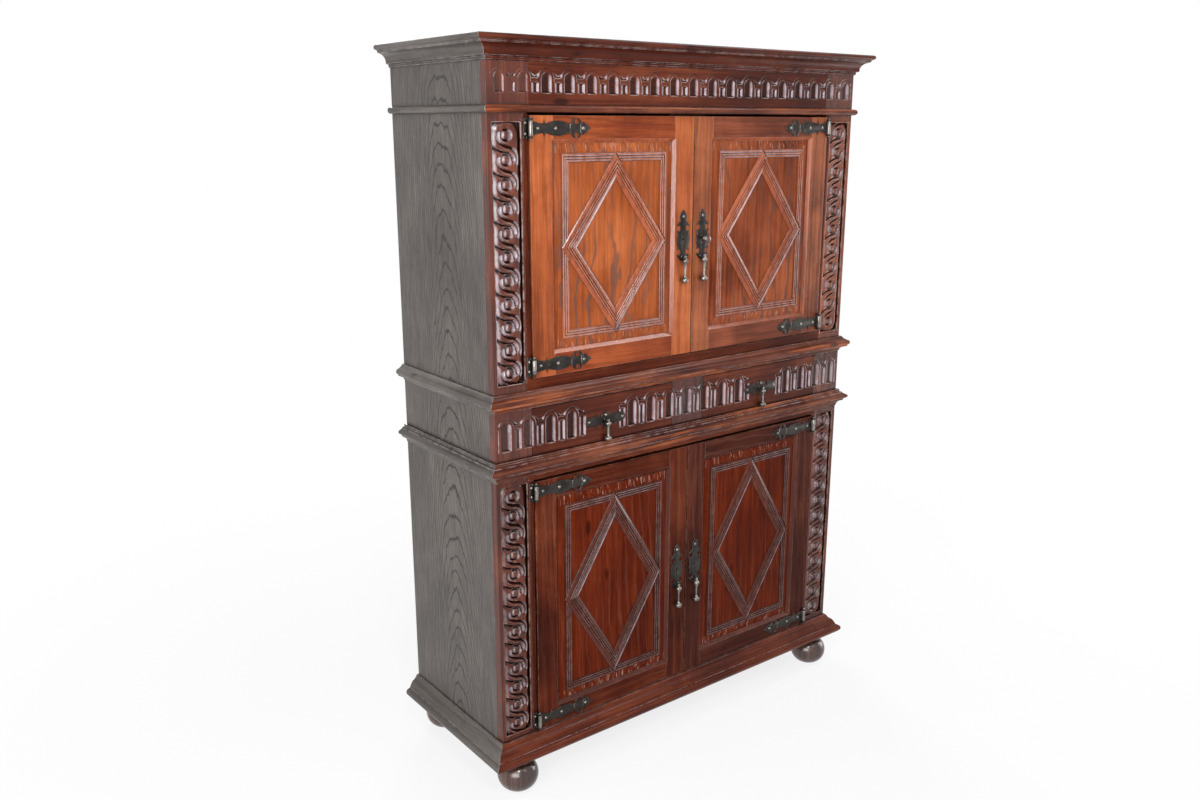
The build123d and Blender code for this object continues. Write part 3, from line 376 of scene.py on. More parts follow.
FINISHES = [
    (("upper_sides", "lower_sides"), oiled_wood(
        "side_wood", *GREY, SIDE, gloss=0.42, shine=0.22, veins=0.85, rings=52.0, sway=0.022, clouds=0.75,
        **AGED)),
    (("top_board", "waist_top"), oiled_wood(
        "top_wood", *GREY, LEVEL, gloss=0.60, shine=0.10, veins=0.6, **AGED)),
    (("lower_shelves", "upper_shelves", "drawer_deck", "shelf_cleats", "drawer_guides", "door_stops",
      "foot_blocks", "left_drawer_box", "right_drawer_box"), oiled_wood(
        "inner_wood", (0.05, 0.026, 0.014), (0.12, 0.066, 0.036), (0.20, 0.12, 0.07), LEVEL, gloss=0.55,
        wear=0.2, worn=(0.3, 0.2, 0.13))),
    (("upper_back", "lower_back"), oiled_wood(
        "back_wood", (0.035, 0.020, 0.012), (0.085, 0.05, 0.03), (0.15, 0.095, 0.06), UPRIGHT, gloss=0.6,
        wear=0.2, veins=0.7, rings=20.0, worn=(0.26, 0.18, 0.12))),
    (("upper_left_door_frame",), oiled_wood(
        "upper_left_door_wood", *ORANGE, RAILS, seed=1.3, turned=ORANGE_RAIL, **UPPER_FRAME)),
    (("upper_right_door_frame",), oiled_wood(
        "upper_right_door_wood", *TAWNY, RAILS, seed=2.3, turned=TAWNY_RAIL, **UPPER_FRAME)),
    (("upper_left_door_panel",), oiled_wood(
        "upper_left_panel_wood", *ORANGE_FIELD, UPRIGHT, veins=0.75, tilt=7.0, sway=0.16,
        vein=(0.110, 0.060, 0.050), seed=4.1, **UPPER_PANEL)),
    (("upper_right_door_panel",), oiled_wood(
        "upper_right_panel_wood", *RUSSET, UPRIGHT, veins=0.7, tilt=6.0, sway=0.14,
        vein=(0.070, 0.040, 0.034), seed=9.1, **UPPER_PANEL)),
    (("lower_left_door_frame",), oiled_wood(
        "lower_left_door_wood", *MAHOGANY, RAILS, seed=2.9, vein=(0.20, 0.085, 0.055), **LOWER_FRAME)),
    (("lower_right_door_frame",), oiled_wood(
        "lower_right_door_wood", *DUSKY, RAILS, seed=6.9, vein=(0.16, 0.080, 0.055), **LOWER_FRAME)),
    (("lower_left_door_panel", "lower_right_door_panel"), oiled_wood(
        "lower_panel_wood", *CRIMSON, UPRIGHT, shine=0.03, veins=0.15, rings=12.0, tilt=7.0,
        vein=(0.22, 0.10, 0.07), seed=5.7, ticks=lower_field)),
    (("front_rails",), oiled_wood("front_rail_wood", *POLISHED_RED, LEVEL, shine=0.08, seed=3.3)),
    (("hanging_strips",), oiled_wood("hanging_strip_wood", *MAHOGANY, UPRIGHT, shine=0.08, seed=6.1)),
    (("lower_waist_moulding", "upper_waist_moulding", "astragal"), oiled_wood(
        "case_moulding_wood", *HIGH_RED, WRAPPED, shine=0.16, seed=7.7, clouds=1.1,
        bare=(0.40, 0.095, 0.020), **MOULDED)),
    (("cornice", "base_moulding"), oiled_wood(
        "cornice_wood", *POLISHED_RED, WRAPPED, shine=0.14, seed=4.4, **MOULDED)),
    (("bun_feet",), oiled_wood(
        "foot_wood", (0.014, 0.008, 0.007), (0.048, 0.022, 0.017), (0.11, 0.055, 0.043), UPRIGHT,
        gloss=0.14, shine=0.62, worn=(0.36, 0.27, 0.24), clouds=1.2)),
]

# for the pieces modelled here; the directions given to a wood get painted sheen, pale highlights on the
# facets that face them
upper_reed_wood = oiled_wood("upper_panel_reed_wood", *REED_RED, UPRIGHT, shade_in_corners=1.0,
                             painted_sheens=[(DOWN_RIGHT, 0.26, 0.42, 0.90, ANY_DEPTH)], **UPPER_BEAD)
lower_reed_wood = oiled_wood("lower_panel_reed_wood", *MAHOGANY, UPRIGHT, gloss=0.16, shine=0.26, wear=0.18,
                             shade_in_corners=1.0, painted_sheens=[(DOWN_RIGHT, 0.26, 0.42, 0.95, ANY_DEPTH)], **LOWER_BEAD)
upper_sticking_wood = oiled_wood("upper_sticking_wood", *REED_RED, UPRIGHT, **UPPER_BEAD)
lower_sticking_wood = oiled_wood("lower_sticking_wood", *MAHOGANY, UPRIGHT, gloss=0.20, shine=0.30,
                                 wear=0.30, **LOWER_BEAD)
carved_wood = oiled_wood(
    "carved_wood", *POLISHED_RED, LEVEL, gloss=0.14, shine=0.16, wear=0.9, worn=(0.50, 0.40, 0.38),
    painted_sheens=[(LEFTWARD, 0.36, 0.66, 0.70, ANY_DEPTH), (RIGHTWARD, 0.20, 0.30, 0.62, 3.2)], **CARVED)
post_wood = oiled_wood(
    "upper_post_wood", *DEEP_RED, UPRIGHT, gloss=0.14, shine=0.42, worn=(0.50, 0.40, 0.38), seed=8.3,
    painted_sheens=[(LEFTWARD, 0.28, 0.58, 0.58, ANY_DEPTH)], **CARVED)
right_post_wood = oiled_wood(
    "upper_right_post_wood", *WARM_RED, UPRIGHT, gloss=0.18, shine=0.26, wear=0.5,
    worn=(0.50, 0.36, 0.30), seed=2.7, painted_sheens=[(LEFTWARD, 0.40, 0.66, 0.40, ANY_DEPTH)], **CARVED)
lower_post_wood = oiled_wood(
    "lower_post_wood", *DEEP_RED, UPRIGHT, gloss=0.16, shine=0.30, wear=0.45, worn=(0.42, 0.30, 0.26),
    seed=5.1, painted_sheens=[(LEFTWARD, 0.34, 0.62, 0.34, ANY_DEPTH)], **CARVED)
iron =forged_iron("forged_iron", (0.023, 0.020, 0.018), (0.40, 0.37, 0.34), 0.32, 1.0)
polished_iron = forged_iron("rubbed_iron", (0.15, 0.135, 0.12), (0.66, 0.61, 0.56), 0.20, 0.9)

finished = {node: material for nodes, material in FINISHES for node in nodes}
for node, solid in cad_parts.items():
    material = finished.get(node, polished_iron if node.endswith("pull") else iron)
    for socket in solid.material_slots:
        socket.material = material

# ---- floor and world

floor_mesh = bpy.data.meshes.new("floor")
floor_shape = bmesh.new()
bmesh.ops.create_grid(floor_shape, x_segments=1, y_segments=1, size=14)
floor_shape.to_mesh(floor_mesh)
floor_shape.free()
floor = bpy.data.objects.new("floor", floor_mesh)
bpy.context.collection.objects.link(floor)
paper = Recipe(bpy.data.materials.new("white_floor"))
paper.surface.inputs["Base Color"].default_value = (0.86, 0.86, 0.86, 1)
paper.surface.inputs["Roughness"].default_value = 0.9
spot = paper.add("TexCoord").outputs["Object"]
away = paper.add("VectorMath", {0: spot}, operation="LENGTH").outputs["Value"]
glow = paper.add("Emission", {"Color": (1, 1, 1, 1), "Strength": 1.0})
share = paper.times(paper.looked_at(), paper.spread(away, 0.7, 2.6, 0.80, 1.0))
veil = paper.add("MixShader", {0: share, 1: paper.surface.outputs[0], 2: glow.outputs[0]})
paper.connect(paper.tree.nodes["Material Output"].inputs[0], veil.outputs[0])
floor_mesh.materials.append(paper.owner)
floor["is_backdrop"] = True

WORLD_LIGHT = 0.22
world = bpy.data.worlds.new("studio")
bpy.context.scene.world = world
studio = Recipe(world)
backdrop = studio.tree.nodes["Background"].inputs
backdrop["Color"].default_value = (1, 1, 1, 1)
studio.connect(backdrop["Strength"], studio.spread(studio.looked_at(), 0.0, 1.0, WORLD_LIGHT, 1.0))

# ---- carving

REACH = 1.6
FINE, FINER = 1.15, 1.12
FAR = 1e9


def join(shape, part):
    """Moves one bmesh into another."""
    mesh = bpy.data.meshes.new("part")
    part.to_mesh(mesh)
    part.free()
    shape.from_mesh(mesh)
    bpy.data.meshes.remove(mesh)


def steps(*spans):
    """Rising positions from spans of (start, end, step), each position once."""
    rows = [np.linspace(a, b, max(1, round((b - a) / step)) + 1) for a, b, step in spans]
    return np.unique(np.round(np.concatenate(rows), 4))


def carved_board(shape, xs, zs, depth, back):
    """Adds a board to a bmesh whose front is sunk at each point by depth(x, z); sizes in millimetres.
    The attribute "proud" says how far a point stands out from those around it, "sunk" how deep it is."""
    across, up = len(xs) - 1, len(zs) - 1
    block = bmesh.new()
    bmesh.ops.create_grid(block, x_segments=across, y_segments=up, size=1)
    rim = [edge for edge in block.edges if edge.is_boundary]
    walls = bmesh.ops.extrude_edge_only(block, edges=rim)["geom"]
    behind = [item for item in walls if isinstance(item, bmesh.types.BMVert)]
    bmesh.ops.translate(block, verts=behind, vec=(0, 0, -1))
    bmesh.ops.edgeloop_fill(block, edges=[edge for edge in block.edges if edge.is_boundary])
    local = np.array([vert.co[:] for vert in block.verts])
    x = xs[np.rint((local[:, 0] + 1) / 2 * across).astype(int)]
    z = zs[np.rint((local[:, 1] + 1) / 2 * up).astype(int)]
    here = depth(x, z)
    around = [depth(x + a, z + b) for a in (-REACH, 0, REACH) for b in (-REACH, 0, REACH) if a or b]
    rear = local[:, 2] < -0.5
    proud = np.where(rear, 0, sum(around) / len(around) - here)
    y = np.where(rear, back, FRONT + here)
    sunk = np.where(rear, 0, here)
    marks = [block.verts.layers.float.new(name) for name in ("proud", "sunk")]
    for vert, place, *values in zip(block.verts, np.column_stack([x, y, z]) * MM, proud, sunk):
        vert.co = place
        for mark, value in zip(marks, values):
            vert[mark] = value
    bmesh.ops.recalc_face_normals(block, faces=block.faces)
    join(shape, block)


def piece(name, shape, body, slot, material, *nodes, sharp=50):
    """Object made from a bmesh, riding on a body and standing for CAD nodes."""
    mesh = bpy.data.meshes.new(name)
    shape.to_mesh(mesh)
    shape.free()
    mesh.shade_smooth()
    mesh.set_sharp_from_angle(angle=radians(sharp))
    for finish in material if isinstance(material, tuple) else (material,):
        mesh.materials.append(finish)
    made = bpy.data.objects.new(name, mesh)
    bpy.context.collection.objects.link(made)
    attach(made, body)
    if nodes:
        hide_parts(*nodes)


def pillow(distance, width):
    """Round shoulder: 0 on a line, 1 from a width away."""
    return np.sin(np.clip(distance / width, 0, 1) * pi / 2)


def from_line(x, z, line):
    """Distance from points to a chain of points, and whether each lies above it."""
    best = np.full(x.shape, FAR)
    above = np.zeros(x.shape, bool)
    for (ax, az), (bx, bz) in zip(line, line[1:]):
        dx, dz = bx - ax, bz - az
        t = np.clip(((x - ax) * dx + (z - az) * dz) / (dx * dx + dz * dz), 0, 1)
        gap = np.hypot(x - ax - t * dx, z - az - t * dz)
        side = dx * (z - az) - dz * (x - ax) > 0
        above = np.where(gap < best, side, above)
        best = np.minimum(gap, best)
    return best, above


CARVED_KNOT = 54.4
STRAP_CUT = [(-42, -17), (-30, -27), (-22, -32), (-13.6, -36), (-1, -38.4), (9, -40), (15, -44.5),
             (18, -50), (18, -55)]
STRAP_GROOVE = [(-21.5, 4), (-22.5, -5), (-20, -12), (-14, -18), (-7, -22), (0, -25), (9, -26.5),
                (17, -30), (24, -36), (29, -43), (31, -52), (29.5, -61), (27, -65)]
STRAP_DEPTH, STRAP_LOW = 8.4, 1.0
SHOULDER_WIDTH, FLANK_WIDTH = 7.5, 13.0
CUT_DEPTH, CUT_WIDTH = 2.4, 1.4
BOSS_R, BOSS_FOOT, BOSS_RISE = 9.8, 2.6, 5.6
RING_R, RING_FLOOR = 10.9, 2.8
CAP_R = 37.0


def strapwork(u, below, half, length, knots):
    """Depth of the twisted strap with its bosses; u from the panel's middle, below from its start."""
    pitch = length / knots
    stretch = pitch / CARVED_KNOT
    level = np.clip(np.floor(below / pitch), 0, knots - 1)
    cut = under = groove = boss = np.full(u.shape, FAR)
    for shift in (-2, -1, 0, 1):
        k = level + shift
        real = (k >= 0) & (k < knots)
        z = ((k + 0.5) * pitch - below) / stretch
        gap, above = from_line(u, z, STRAP_CUT)
        last = k == knots - 1
        cut = np.where(real & above & ~last, np.minimum(cut, gap), cut)
        under = np.where(real & ~above & ~last, np.minimum(under, gap), under)
        gap, _ = from_line(u, z, STRAP_GROOVE)
        groove = np.where(real, np.minimum(groove, gap), groove)
        boss = np.where(real, np.minimum(boss, np.hypot(u, z * stretch)), boss)
    edge = half - np.abs(u)
    start = pitch / 2
    for level_z, beyond in ((start, below < start), (length - start, below > length - start)):
        edge = np.where(beyond, np.minimum(edge, CAP_R - np.hypot(u, below - level_z)), edge)
    nearest = np.minimum(np.minimum(cut, groove), boss - RING_R)
    rise = STRAP_DEPTH - STRAP_LOW
    flank = 1 - (1 - np.clip(edge / FLANK_WIDTH, 0, 1)) ** 1.3
    height = STRAP_LOW + rise * np.minimum(pillow(np.maximum(nearest, 0), SHOULDER_WIDTH), flank)
    height = height - rise * 0.85 * np.exp(-under / 4.5)
    height = height - CUT_DEPTH * np.exp(-(cut / CUT_WIDTH) ** 2)
    dome = BOSS_FOOT + BOSS_RISE * np.clip(1 - (boss / BOSS_R) ** 2, 0, 1) ** 0.8
    height = np.where(boss < RING_R, np.minimum(height, RING_FLOOR), height)
    height = np.where(boss < BOSS_R, dome, height)
    height = np.where(edge < 0, 0.6, height)
    return STRAP_DEPTH - np.clip(height, 0.2, STRAP_DEPTH + 0.8)


def post(name, node_side, z0, z1, low, high, knots, node, wood):
    """One carved post of the front frame."""
    outer, inner = HALF - 12, PILASTER_IN + 6.5
    middle, half = (outer + inner) / 2, (outer - inner) / 2
    side = -1 if node_side == "left" else 1

    def depth(x, z):
        u = x - side * middle
        below = high - z if node_side == "left" else z - low
        sunk = strapwork(u, below, half, high - low, knots)
        inside = (np.abs(u) < half) & (z > low) & (z < high)
        off_inner = np.abs(x) - PILASTER_IN
        bead = -1.1 * np.sqrt(np.clip(1 - ((off_inner - 3.4) / 2.7) ** 2, 0, 1))
        rim = np.minimum(np.abs(z - high - 3.6), np.abs(low - 3.6 - z))
        rim_bead = np.where(np.abs(u) < half + 6, -np.sqrt(np.clip(1 - (rim / 2.9) ** 2, 0, 1)), 0)
        shown = (z > low - 7) & (z < high + 7)
        plain = np.where(shown, np.minimum(bead, rim_bead), 0)
        return np.where(inside, sunk, plain)

    xs = steps((PILASTER_IN, HALF - 9, FINER), (HALF - 9, HALF - 2, 3.5), (HALF - 2, HALF, 1)) * side
    zs = steps((z0, z0 + 2, 1), (z0 + 2, low - 8, 12), (low - 8, high + 8, FINE), (high + 8, z1 - 2, 12),
               (z1 - 2, z1, 1))
    shape = bmesh.new()
    carved_board(shape, np.sort(xs), zs, depth, FRAME_BACK)
    piece(name, shape, "case", "carved_boards", wood, node)


for hand in ("left", "right"):
    post(f"lower_{hand}_post", hand, 92, WAIST_LOW, low=165, high=831, knots=13, node="lower_pilasters",
         wood=lower_post_wood)
    post(f"upper_{hand}_post", hand, 1040, FRIEZE_LOW, low=1085, high=1683, knots=11, node="upper_pilasters",
         wood=post_wood if hand == "left" else right_post_wood)

NICHE_HALF = 14.6
NICHE_DEEP = 7.4
ARCH_OUTER = 21.4
SLOT_HALF = 10.7


def arcade(x, z, foot, crown, slot_top, kept, strength=1.0):
    """Depth of a row of round-headed niches with chip-cut slots and spandrels between them."""
    spring = crown - NICHE_HALF
    bar_top = slot_top + 8.2
    arch = np.clip(np.rint(x / ARCH_PITCH), -9, 9)
    u = x - arch * ARCH_PITCH
    here = np.isin(arch, kept)
    radial = np.where(z > spring, np.hypot(u, z - spring), np.abs(u))
    gap = np.floor(x / ARCH_PITCH)
    v = x - (gap + 0.5) * ARCH_PITCH
    beside = np.isin(gap, kept) | np.isin(gap + 1, kept)
    outside = np.abs(x) > 9 * ARCH_PITCH + ARCH_OUTER
    depth = np.zeros(x.shape)

    bowl = (NICHE_HALF ** 2 + NICHE_DEEP ** 2) / (2 * NICHE_DEEP)
    scoop = np.sqrt(np.maximum(bowl ** 2 - radial ** 2, 0)) - (bowl - NICHE_DEEP)
    scoop = np.minimum(scoop, (z - foot) * 1.6)
    depth = np.where(here & (radial < NICHE_HALF) & (z > foot), scoop, depth)

    band = (radial - NICHE_HALF) / (ARCH_OUTER - NICHE_HALF)
    on_band = here & (band >= 0) & (band <= 1) & (z > foot)
    depth = np.where(on_band, 0.9 * (2 * band - 1) ** 4, depth)
    ring = here & (z > spring) & (band > 1) & (radial < ARCH_OUTER + 2.2)
    depth = np.where(ring, 1.3 * (1 - np.abs(radial - ARCH_OUTER - 1.0) / 1.2).clip(0, 1), depth)

    away = np.abs(v)
    slot = beside & (away < SLOT_HALF) & (z > foot) & (z < slot_top) & ~outside
    cut = np.minimum.reduce([(v + SLOT_HALF) * 0.36, (SLOT_HALF - v) * 1.2, (slot_top - z) * 1.1,
                             (z - foot) * 1.1, np.full(x.shape, 5.2)])
    depth = np.where(slot, cut, depth)

    bar = beside & (away < SLOT_HALF) & (z >= slot_top) & (z <= bar_top) & ~outside
    across = (z - (slot_top + bar_top) / 2) / ((bar_top - slot_top) / 2)
    line = 0.9 * np.exp(-((across - 0.1) / 0.22) ** 2)
    depth = np.where(bar, 0.7 + 0.9 * np.abs(across) ** 3 + line, depth)

    tip = bar_top + 3.2
    wedge = tip + 0.66 * away
    whole = np.isin(gap, kept) & np.isin(gap + 1, kept)
    reach = np.where(here | whole, 99, 5.0)
    chip = beside & (z > bar_top) & (z < wedge + 0.6) & (radial > ARCH_OUTER - 0.5) & (away < reach)
    chip = chip & ~outside & (z < spring + ARCH_OUTER)
    hollow = np.minimum.reduce([radial - ARCH_OUTER + 0.5, (wedge + 0.6 - z) * 1.8,
                                (z - bar_top) * 1.1, np.where(here | whole, 9.0, (reach - away) * 1.5),
                                np.full(x.shape, 4.6)])
    depth = np.where(chip, np.maximum(hollow, depth), depth)

    end = np.abs(x) - (9 * ARCH_PITCH + ARCH_OUTER)
    end_line = (end > 0) & (z > foot) & (z < spring)
    depth = np.where(end_line, 1.8 * np.exp(-((end - 2.0) / 1.2) ** 2), depth)
    return depth * strength


EVERY_ARCH = list(range(-9, 10))
WAIST_ARCHES = [k for k in EVERY_ARCH if abs(k) not in (4, 5)]


def frieze_depth(x, z):
    strength = np.where(x < -FRIEZE_SEAM, 0.62, 1.0)
    return arcade(x, z, foot=1747, crown=1793.5, slot_top=1771.5, kept=EVERY_ARCH, strength=strength)


def waist_depth(x, z):
    return arcade(x, z, foot=921, crown=993, slot_top=974, kept=WAIST_ARCHES)


frieze_rows = steps((FRIEZE_LOW, 1745, 10), (1745, 1803.6, FINER), (1803.6, FRIEZE_HIGH, 12))
waist_rows = steps((WAIST_LOW, 919, 7), (919, 1002, FINER), (1002, WAIST_HIGH, 8))
frieze = bmesh.new()
carved_board(frieze, steps((-FRIEZE_SEAM, FRIEZE_SEAM, FINE)), frieze_rows, frieze_depth, FRAME_BACK)
piece("carved_frieze", frieze, "case", "carved_boards", carved_wood, "frieze_board")
corners = bmesh.new()
for side in (-1, 1):
    columns = np.sort(side * steps((FRIEZE_SEAM, HALF, FINE)))
    carved_board(corners, columns, frieze_rows, frieze_depth, FRAME_BACK)
piece("carved_frieze_corners", corners, "case", "carved_boards", post_wood, "frieze_corner_blocks")
blocks = bmesh.new()
for low, high in ((-HALF, -BLOCK_SEAM), (-MUNTIN_HALF, MUNTIN_HALF), (BLOCK_SEAM, HALF)):
    carved_board(blocks, steps((low, high, FINE)), waist_rows, waist_depth, FRAME_BACK)
piece("carved_waist_blocks", blocks, "case", "carved_boards", post_wood, "waist_blocks")
drawer_rows = steps((DRAWER_LOW, 919, 6.5), (919, 1002, FINER), (1002, DRAWER_HIGH, 7.25))
for hand, low, high in (("left", -DRAWER_OUT, -DRAWER_IN), ("right", DRAWER_IN, DRAWER_OUT)):
    shape = bmesh.new()
    carved_board(shape, steps((low, high, FINE)), drawer_rows, waist_depth, FRONT + 22)
    piece(f"{hand}_carved_drawer_front", shape, f"{hand}_drawer", "carved_boards", carved_wood,
          f"{hand}_drawer_front")

# ---- reeded panel mouldings

REED_STEPS = 6


def reed(start, end, height, deep):
    """Half-round bead in a section, with a pale tone along its top, rubbed wear and painted highlight, and
    painted shade in the groove before it.
    """
    rise = (end - start) * 0.42
    turns = [pi * step / REED_STEPS for step in range(REED_STEPS + 1)]
    top = [((start + end) / 2 - (end - start) / 2 * cos(t), height + rise * sin(t),
            0.95 * max(0.0, sin(t) * 3 - 2) - 0.5 * max(0.0, 1 - sin(t) * 3)) for t in turns]
    return [(start - 0.1, height - deep, -1.0), *top, (end + 0.1, height - deep, -1.0)]


# the third number of each point is a tone for the proud mark: above zero pale, rubbed wear and painted
# highlight; below zero painted shade
BAND_SECTION = [(0, 0, 0), (0, 1.6, 0), (0.8, 2.0, 0.5), (1.6, 1.8, 0), *reed(2.3, 7.7, 1.5, 1.2),
                *reed(8.9, 13.9, 1.2, 1.0), *reed(15.1, 20.1, 0.9, 0.8), (21.0, 1.0, 0.3), (22, 0.6, 0),
                (22, 0, 0)]
LOZENGE_SECTION = [(0, 0, 0), (0, 1.2, 0), (0.7, 1.8, 0.4), (8.6, 6.3, 0), (9.2, 6.5, 0.6),
                   *reed(9.9, 15.1, 6.3, 2.4), *reed(15.9, 21.1, 6.3, 2.4), *reed(21.9, 27.1, 6.3, 2.4),
                   (27.8, 6.5, 0.8), (28.4, 6.3, 0.3), (36.3, 1.8, 0.1), (37, 1.2, 0.3), (37, 0, 0)]
# sticking: painted highlight along its rounded top edge, painted shade at its foot
STICKING_SECTION = [(-4.8, 4.6, 0), (-4.4, 5.3, 0.6), (-3.7, 5.2, 0.8), (-3.1, 4.6, 0.2), (3.6, -2.3, 0),
                    (4.2, -2.7, 0.5), (4.8, -3.0, -0.4), (5.2, -4.2, -1.0), (5.2, -5.0, 0)]
BORDER_WIDTH, BORDER_HEIGHT = 24, 27


def mitred(section, corners_at):
    """Closed frame of one section (inset, height, tone): corners_at(inset) gives its corners (x, z)."""
    part = bmesh.new()
    mark = part.verts.layers.float.new("proud")
    inset, height, _ = section[0]
    row = [part.verts.new((x, -height, z)) for x, z in corners_at(inset)]
    edges = [part.edges.new((a, b)) for a, b in zip(row, row[1:] + row[:1])]
    for inset, height, tone in section[1:]:
        grown = bmesh.ops.extrude_edge_only(part, edges=edges)["geom"]
        new = {item for item in grown if isinstance(item, bmesh.types.BMVert)}
        edges = [item for item in grown if isinstance(item, bmesh.types.BMEdge) and set(item.verts) <= new]
        row = [next(edge.other_vert(vert) for edge in vert.link_edges if edge.other_vert(vert) in new)
               for vert in row]
        for vert, (x, z) in zip(row, corners_at(inset)):
            vert.co = (x, -height, z)
            # the tone goes into the proud mark: above zero pale wear and painted highlight, below zero
            # painted shade
            vert[mark] = tone
    bmesh.ops.bridge_loops(part, edges=[edge for edge in part.edges if edge.is_boundary])
    bmesh.ops.recalc_face_normals(part, faces=part.faces)
    return part


def reeded_frame(stage, side, material):
    """Rectangle of reeds cut by the lozenge that lies over it, on one door panel."""
    node = f"{stage}_{side}_panel_moulding"
    low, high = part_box(node)
    centre = [(a + b) / 2 / MM for a, b in zip(low, high)]
    foot = high[1] / MM
    half_x, half_z = (high[0] - low[0]) / 2 / MM, (high[2] - low[2]) / 2 / MM
    across = half_x * half_z / hypot(half_x, half_z)

    def rectangle(inset):
        x, z = half_x - inset, half_z - inset
        return [(-x, -z), (x, -z), (x, z), (-x, z)]

    def lozenge(inset):
        share = 1 - inset / across
        return [(-half_x * share, 0), (0, -half_z * share), (half_x * share, 0), (0, half_z * share)]

    def opening(inset):
        x, z = half_x + BORDER_WIDTH - inset, half_z + BORDER_HEIGHT - inset
        return [(-x, -z), (x, -z), (x, z), (-x, z)]

    shape = bmesh.new()
    add_to(shape, mitred(STICKING_SECTION, opening), (centre[0], foot, centre[2]), finish=1)
    for toward_x, toward_z in ((1, 1), (-1, 1), (1, -1), (-1, -1)):
        corner = mitred(BAND_SECTION, rectangle)
        bmesh.ops.bisect_plane(corner, geom=corner.verts[:] + corner.edges[:] + corner.faces[:],
                               plane_co=(half_x * toward_x, 0, 0),
                               plane_no=(toward_x * half_z, 0, toward_z * half_x), clear_inner=True)
        bmesh.ops.holes_fill(corner, edges=[edge for edge in corner.edges if edge.is_boundary], sides=0)
        add_to(shape, corner, (centre[0], foot, centre[2]))
    add_to(shape, mitred(LOZENGE_SECTION, lozenge), (centre[0], foot, centre[2]))
    in_metres(shape)
    piece(f"{stage}_{side}_reeded_frame", shape, f"{stage}_{side}_door", "applied_mouldings", material, node,
          sharp=24)


# ---- ironwork

DOOR_FACE = -210
DOOR_BACK = -185
IRON_T = 2
PIN_X, PIN_Y = 503, -215.5
PLATE_X = 33.5
PULL_AXIS = 11
HINGE_LEVELS = {"lower": (179, 805), "upper": (1120.5, 1670.5)}
KEYHOLES = {"lower": 478, "upper": 1392.5}
STRAP_NAILS = (22, 72, 150)
DRAWER_PLATE_X, DRAWER_PLATE_Z = 280, 953
PULL_DROP = 44
DROP_LENGTH, DRAWER_DROP_LENGTH = 67, 53
LEAF_INNER = -504.25
BOW_RADIUS, BOW_BAR, BOW_SIDES = 9.0, 2.0, 10
ARC_STEPS = 7


def trace(start, *ways):
    """Points along an outline. A way is a point for a straight run, or (middle, end) for an arc."""
    points = [start]
    for way in ways:
        if not isinstance(way[0], tuple):
            points.append(way)
            continue
        (ax, ay), (bx, by), (cx, cy) = points[-1], *way
        turn = 2 * (ax * (by - cy) + bx * (cy - ay) + cx * (ay - by))
        a, b, c = ax * ax + ay * ay, bx * bx + by * by, cx * cx + cy * cy
        x = (a * (by - cy) + b * (cy - ay) + c * (ay - by)) / turn
        y = (a * (cx - bx) + b * (ax - cx) + c * (bx - ax)) / turn
        first = atan2(ay - y, ax - x)
        span = (atan2(cy - y, cx - x) - first) % (2 * pi)
        if (atan2(by - y, bx - x) - first) % (2 * pi) > span:
            span -= 2 * pi
        radius = hypot(ax - x, ay - y)
        places = [first + span * (k + 1) / ARC_STEPS for k in range(ARC_STEPS)]
        points += [(x + radius * cos(place), y + radius * sin(place)) for place in places]
    return points


def add_to(shape, part, centre=(0, 0, 0), finish=0):
    """Moves a small part to its centre and joins it to a bmesh."""
    bmesh.ops.translate(part, verts=part.verts, vec=centre)
    for face in part.faces:
        face.material_index = finish
    bmesh.ops.recalc_face_normals(part, faces=part.faces)
    join(shape, part)


def soften(part, edges, width):
    bmesh.ops.bevel(part, geom=edges, offset=width, offset_type="OFFSET", segments=2, profile=0.5,
                    affect="EDGES", clamp_overlap=True, material=-1)


def flat_iron(shape, half, mirror_axis, centre, edge=0.55):
    """Plate cut to half an outline (x, z) and its mirror image, with softened front edges."""
    part = bmesh.new()
    corners = [part.verts.new((x, 0, z)) for x, z in half]
    part.faces.new(corners)
    bmesh.ops.mirror(part, geom=part.verts[:] + part.edges[:] + part.faces[:], axis=mirror_axis,
                     merge_dist=0.001)
    bmesh.ops.remove_doubles(part, verts=part.verts, dist=0.001)
    bmesh.ops.recalc_face_normals(part, faces=part.faces)
    grown = bmesh.ops.extrude_face_region(part, geom=part.faces[:])["geom"]
    front = [item for item in grown if isinstance(item, bmesh.types.BMVert)]
    bmesh.ops.translate(part, verts=front, vec=(0, -IRON_T, 0))
    rim = [e for e in part.edges if len(e.link_faces) == 2 and all(v.co.y < -IRON_T / 2 for v in e.verts)
           and any(any(v.co.y > -IRON_T / 2 for v in f.verts) for f in e.link_faces)]
    soften(part, rim, edge)
    add_to(shape, part, centre)


def dome_nail(shape, x, face, z, radius=3.6, height=2.4):
    """Nail head on the iron at y = face."""
    part = bmesh.new()
    bmesh.ops.create_uvsphere(part, u_segments=14, v_segments=8, radius=1)
    bmesh.ops.scale(part, vec=(radius, height, radius), verts=part.verts)
    add_to(shape, part, (x, face, z), finish=1)


def bar(shape, centre, radius, length, axis, edge, segments=20, finish=0):
    """Round bar along x or z with softened ends."""
    part = bmesh.new()
    bmesh.ops.create_cone(part, cap_ends=True, segments=segments, radius1=radius, radius2=radius,
                          depth=length)
    soften(part, [e for e in part.edges if any(len(f.verts) > 4 for f in e.link_faces)], edge)
    if axis == "x":
        bmesh.ops.rotate(part, cent=(0, 0, 0), matrix=Matrix.Rotation(pi / 2, 3, "Y"), verts=part.verts)
    add_to(shape, part, centre, finish)


def block(shape, low, high, edge):
    """Softened block between two corners."""
    part = bmesh.new()
    bmesh.ops.create_cube(part, size=1)
    size = [b - a for a, b in zip(low, high)]
    bmesh.ops.scale(part, vec=size, verts=part.verts)
    soften(part, part.edges[:], edge)
    add_to(shape, part, [(a + b) / 2 for a, b in zip(low, high)])


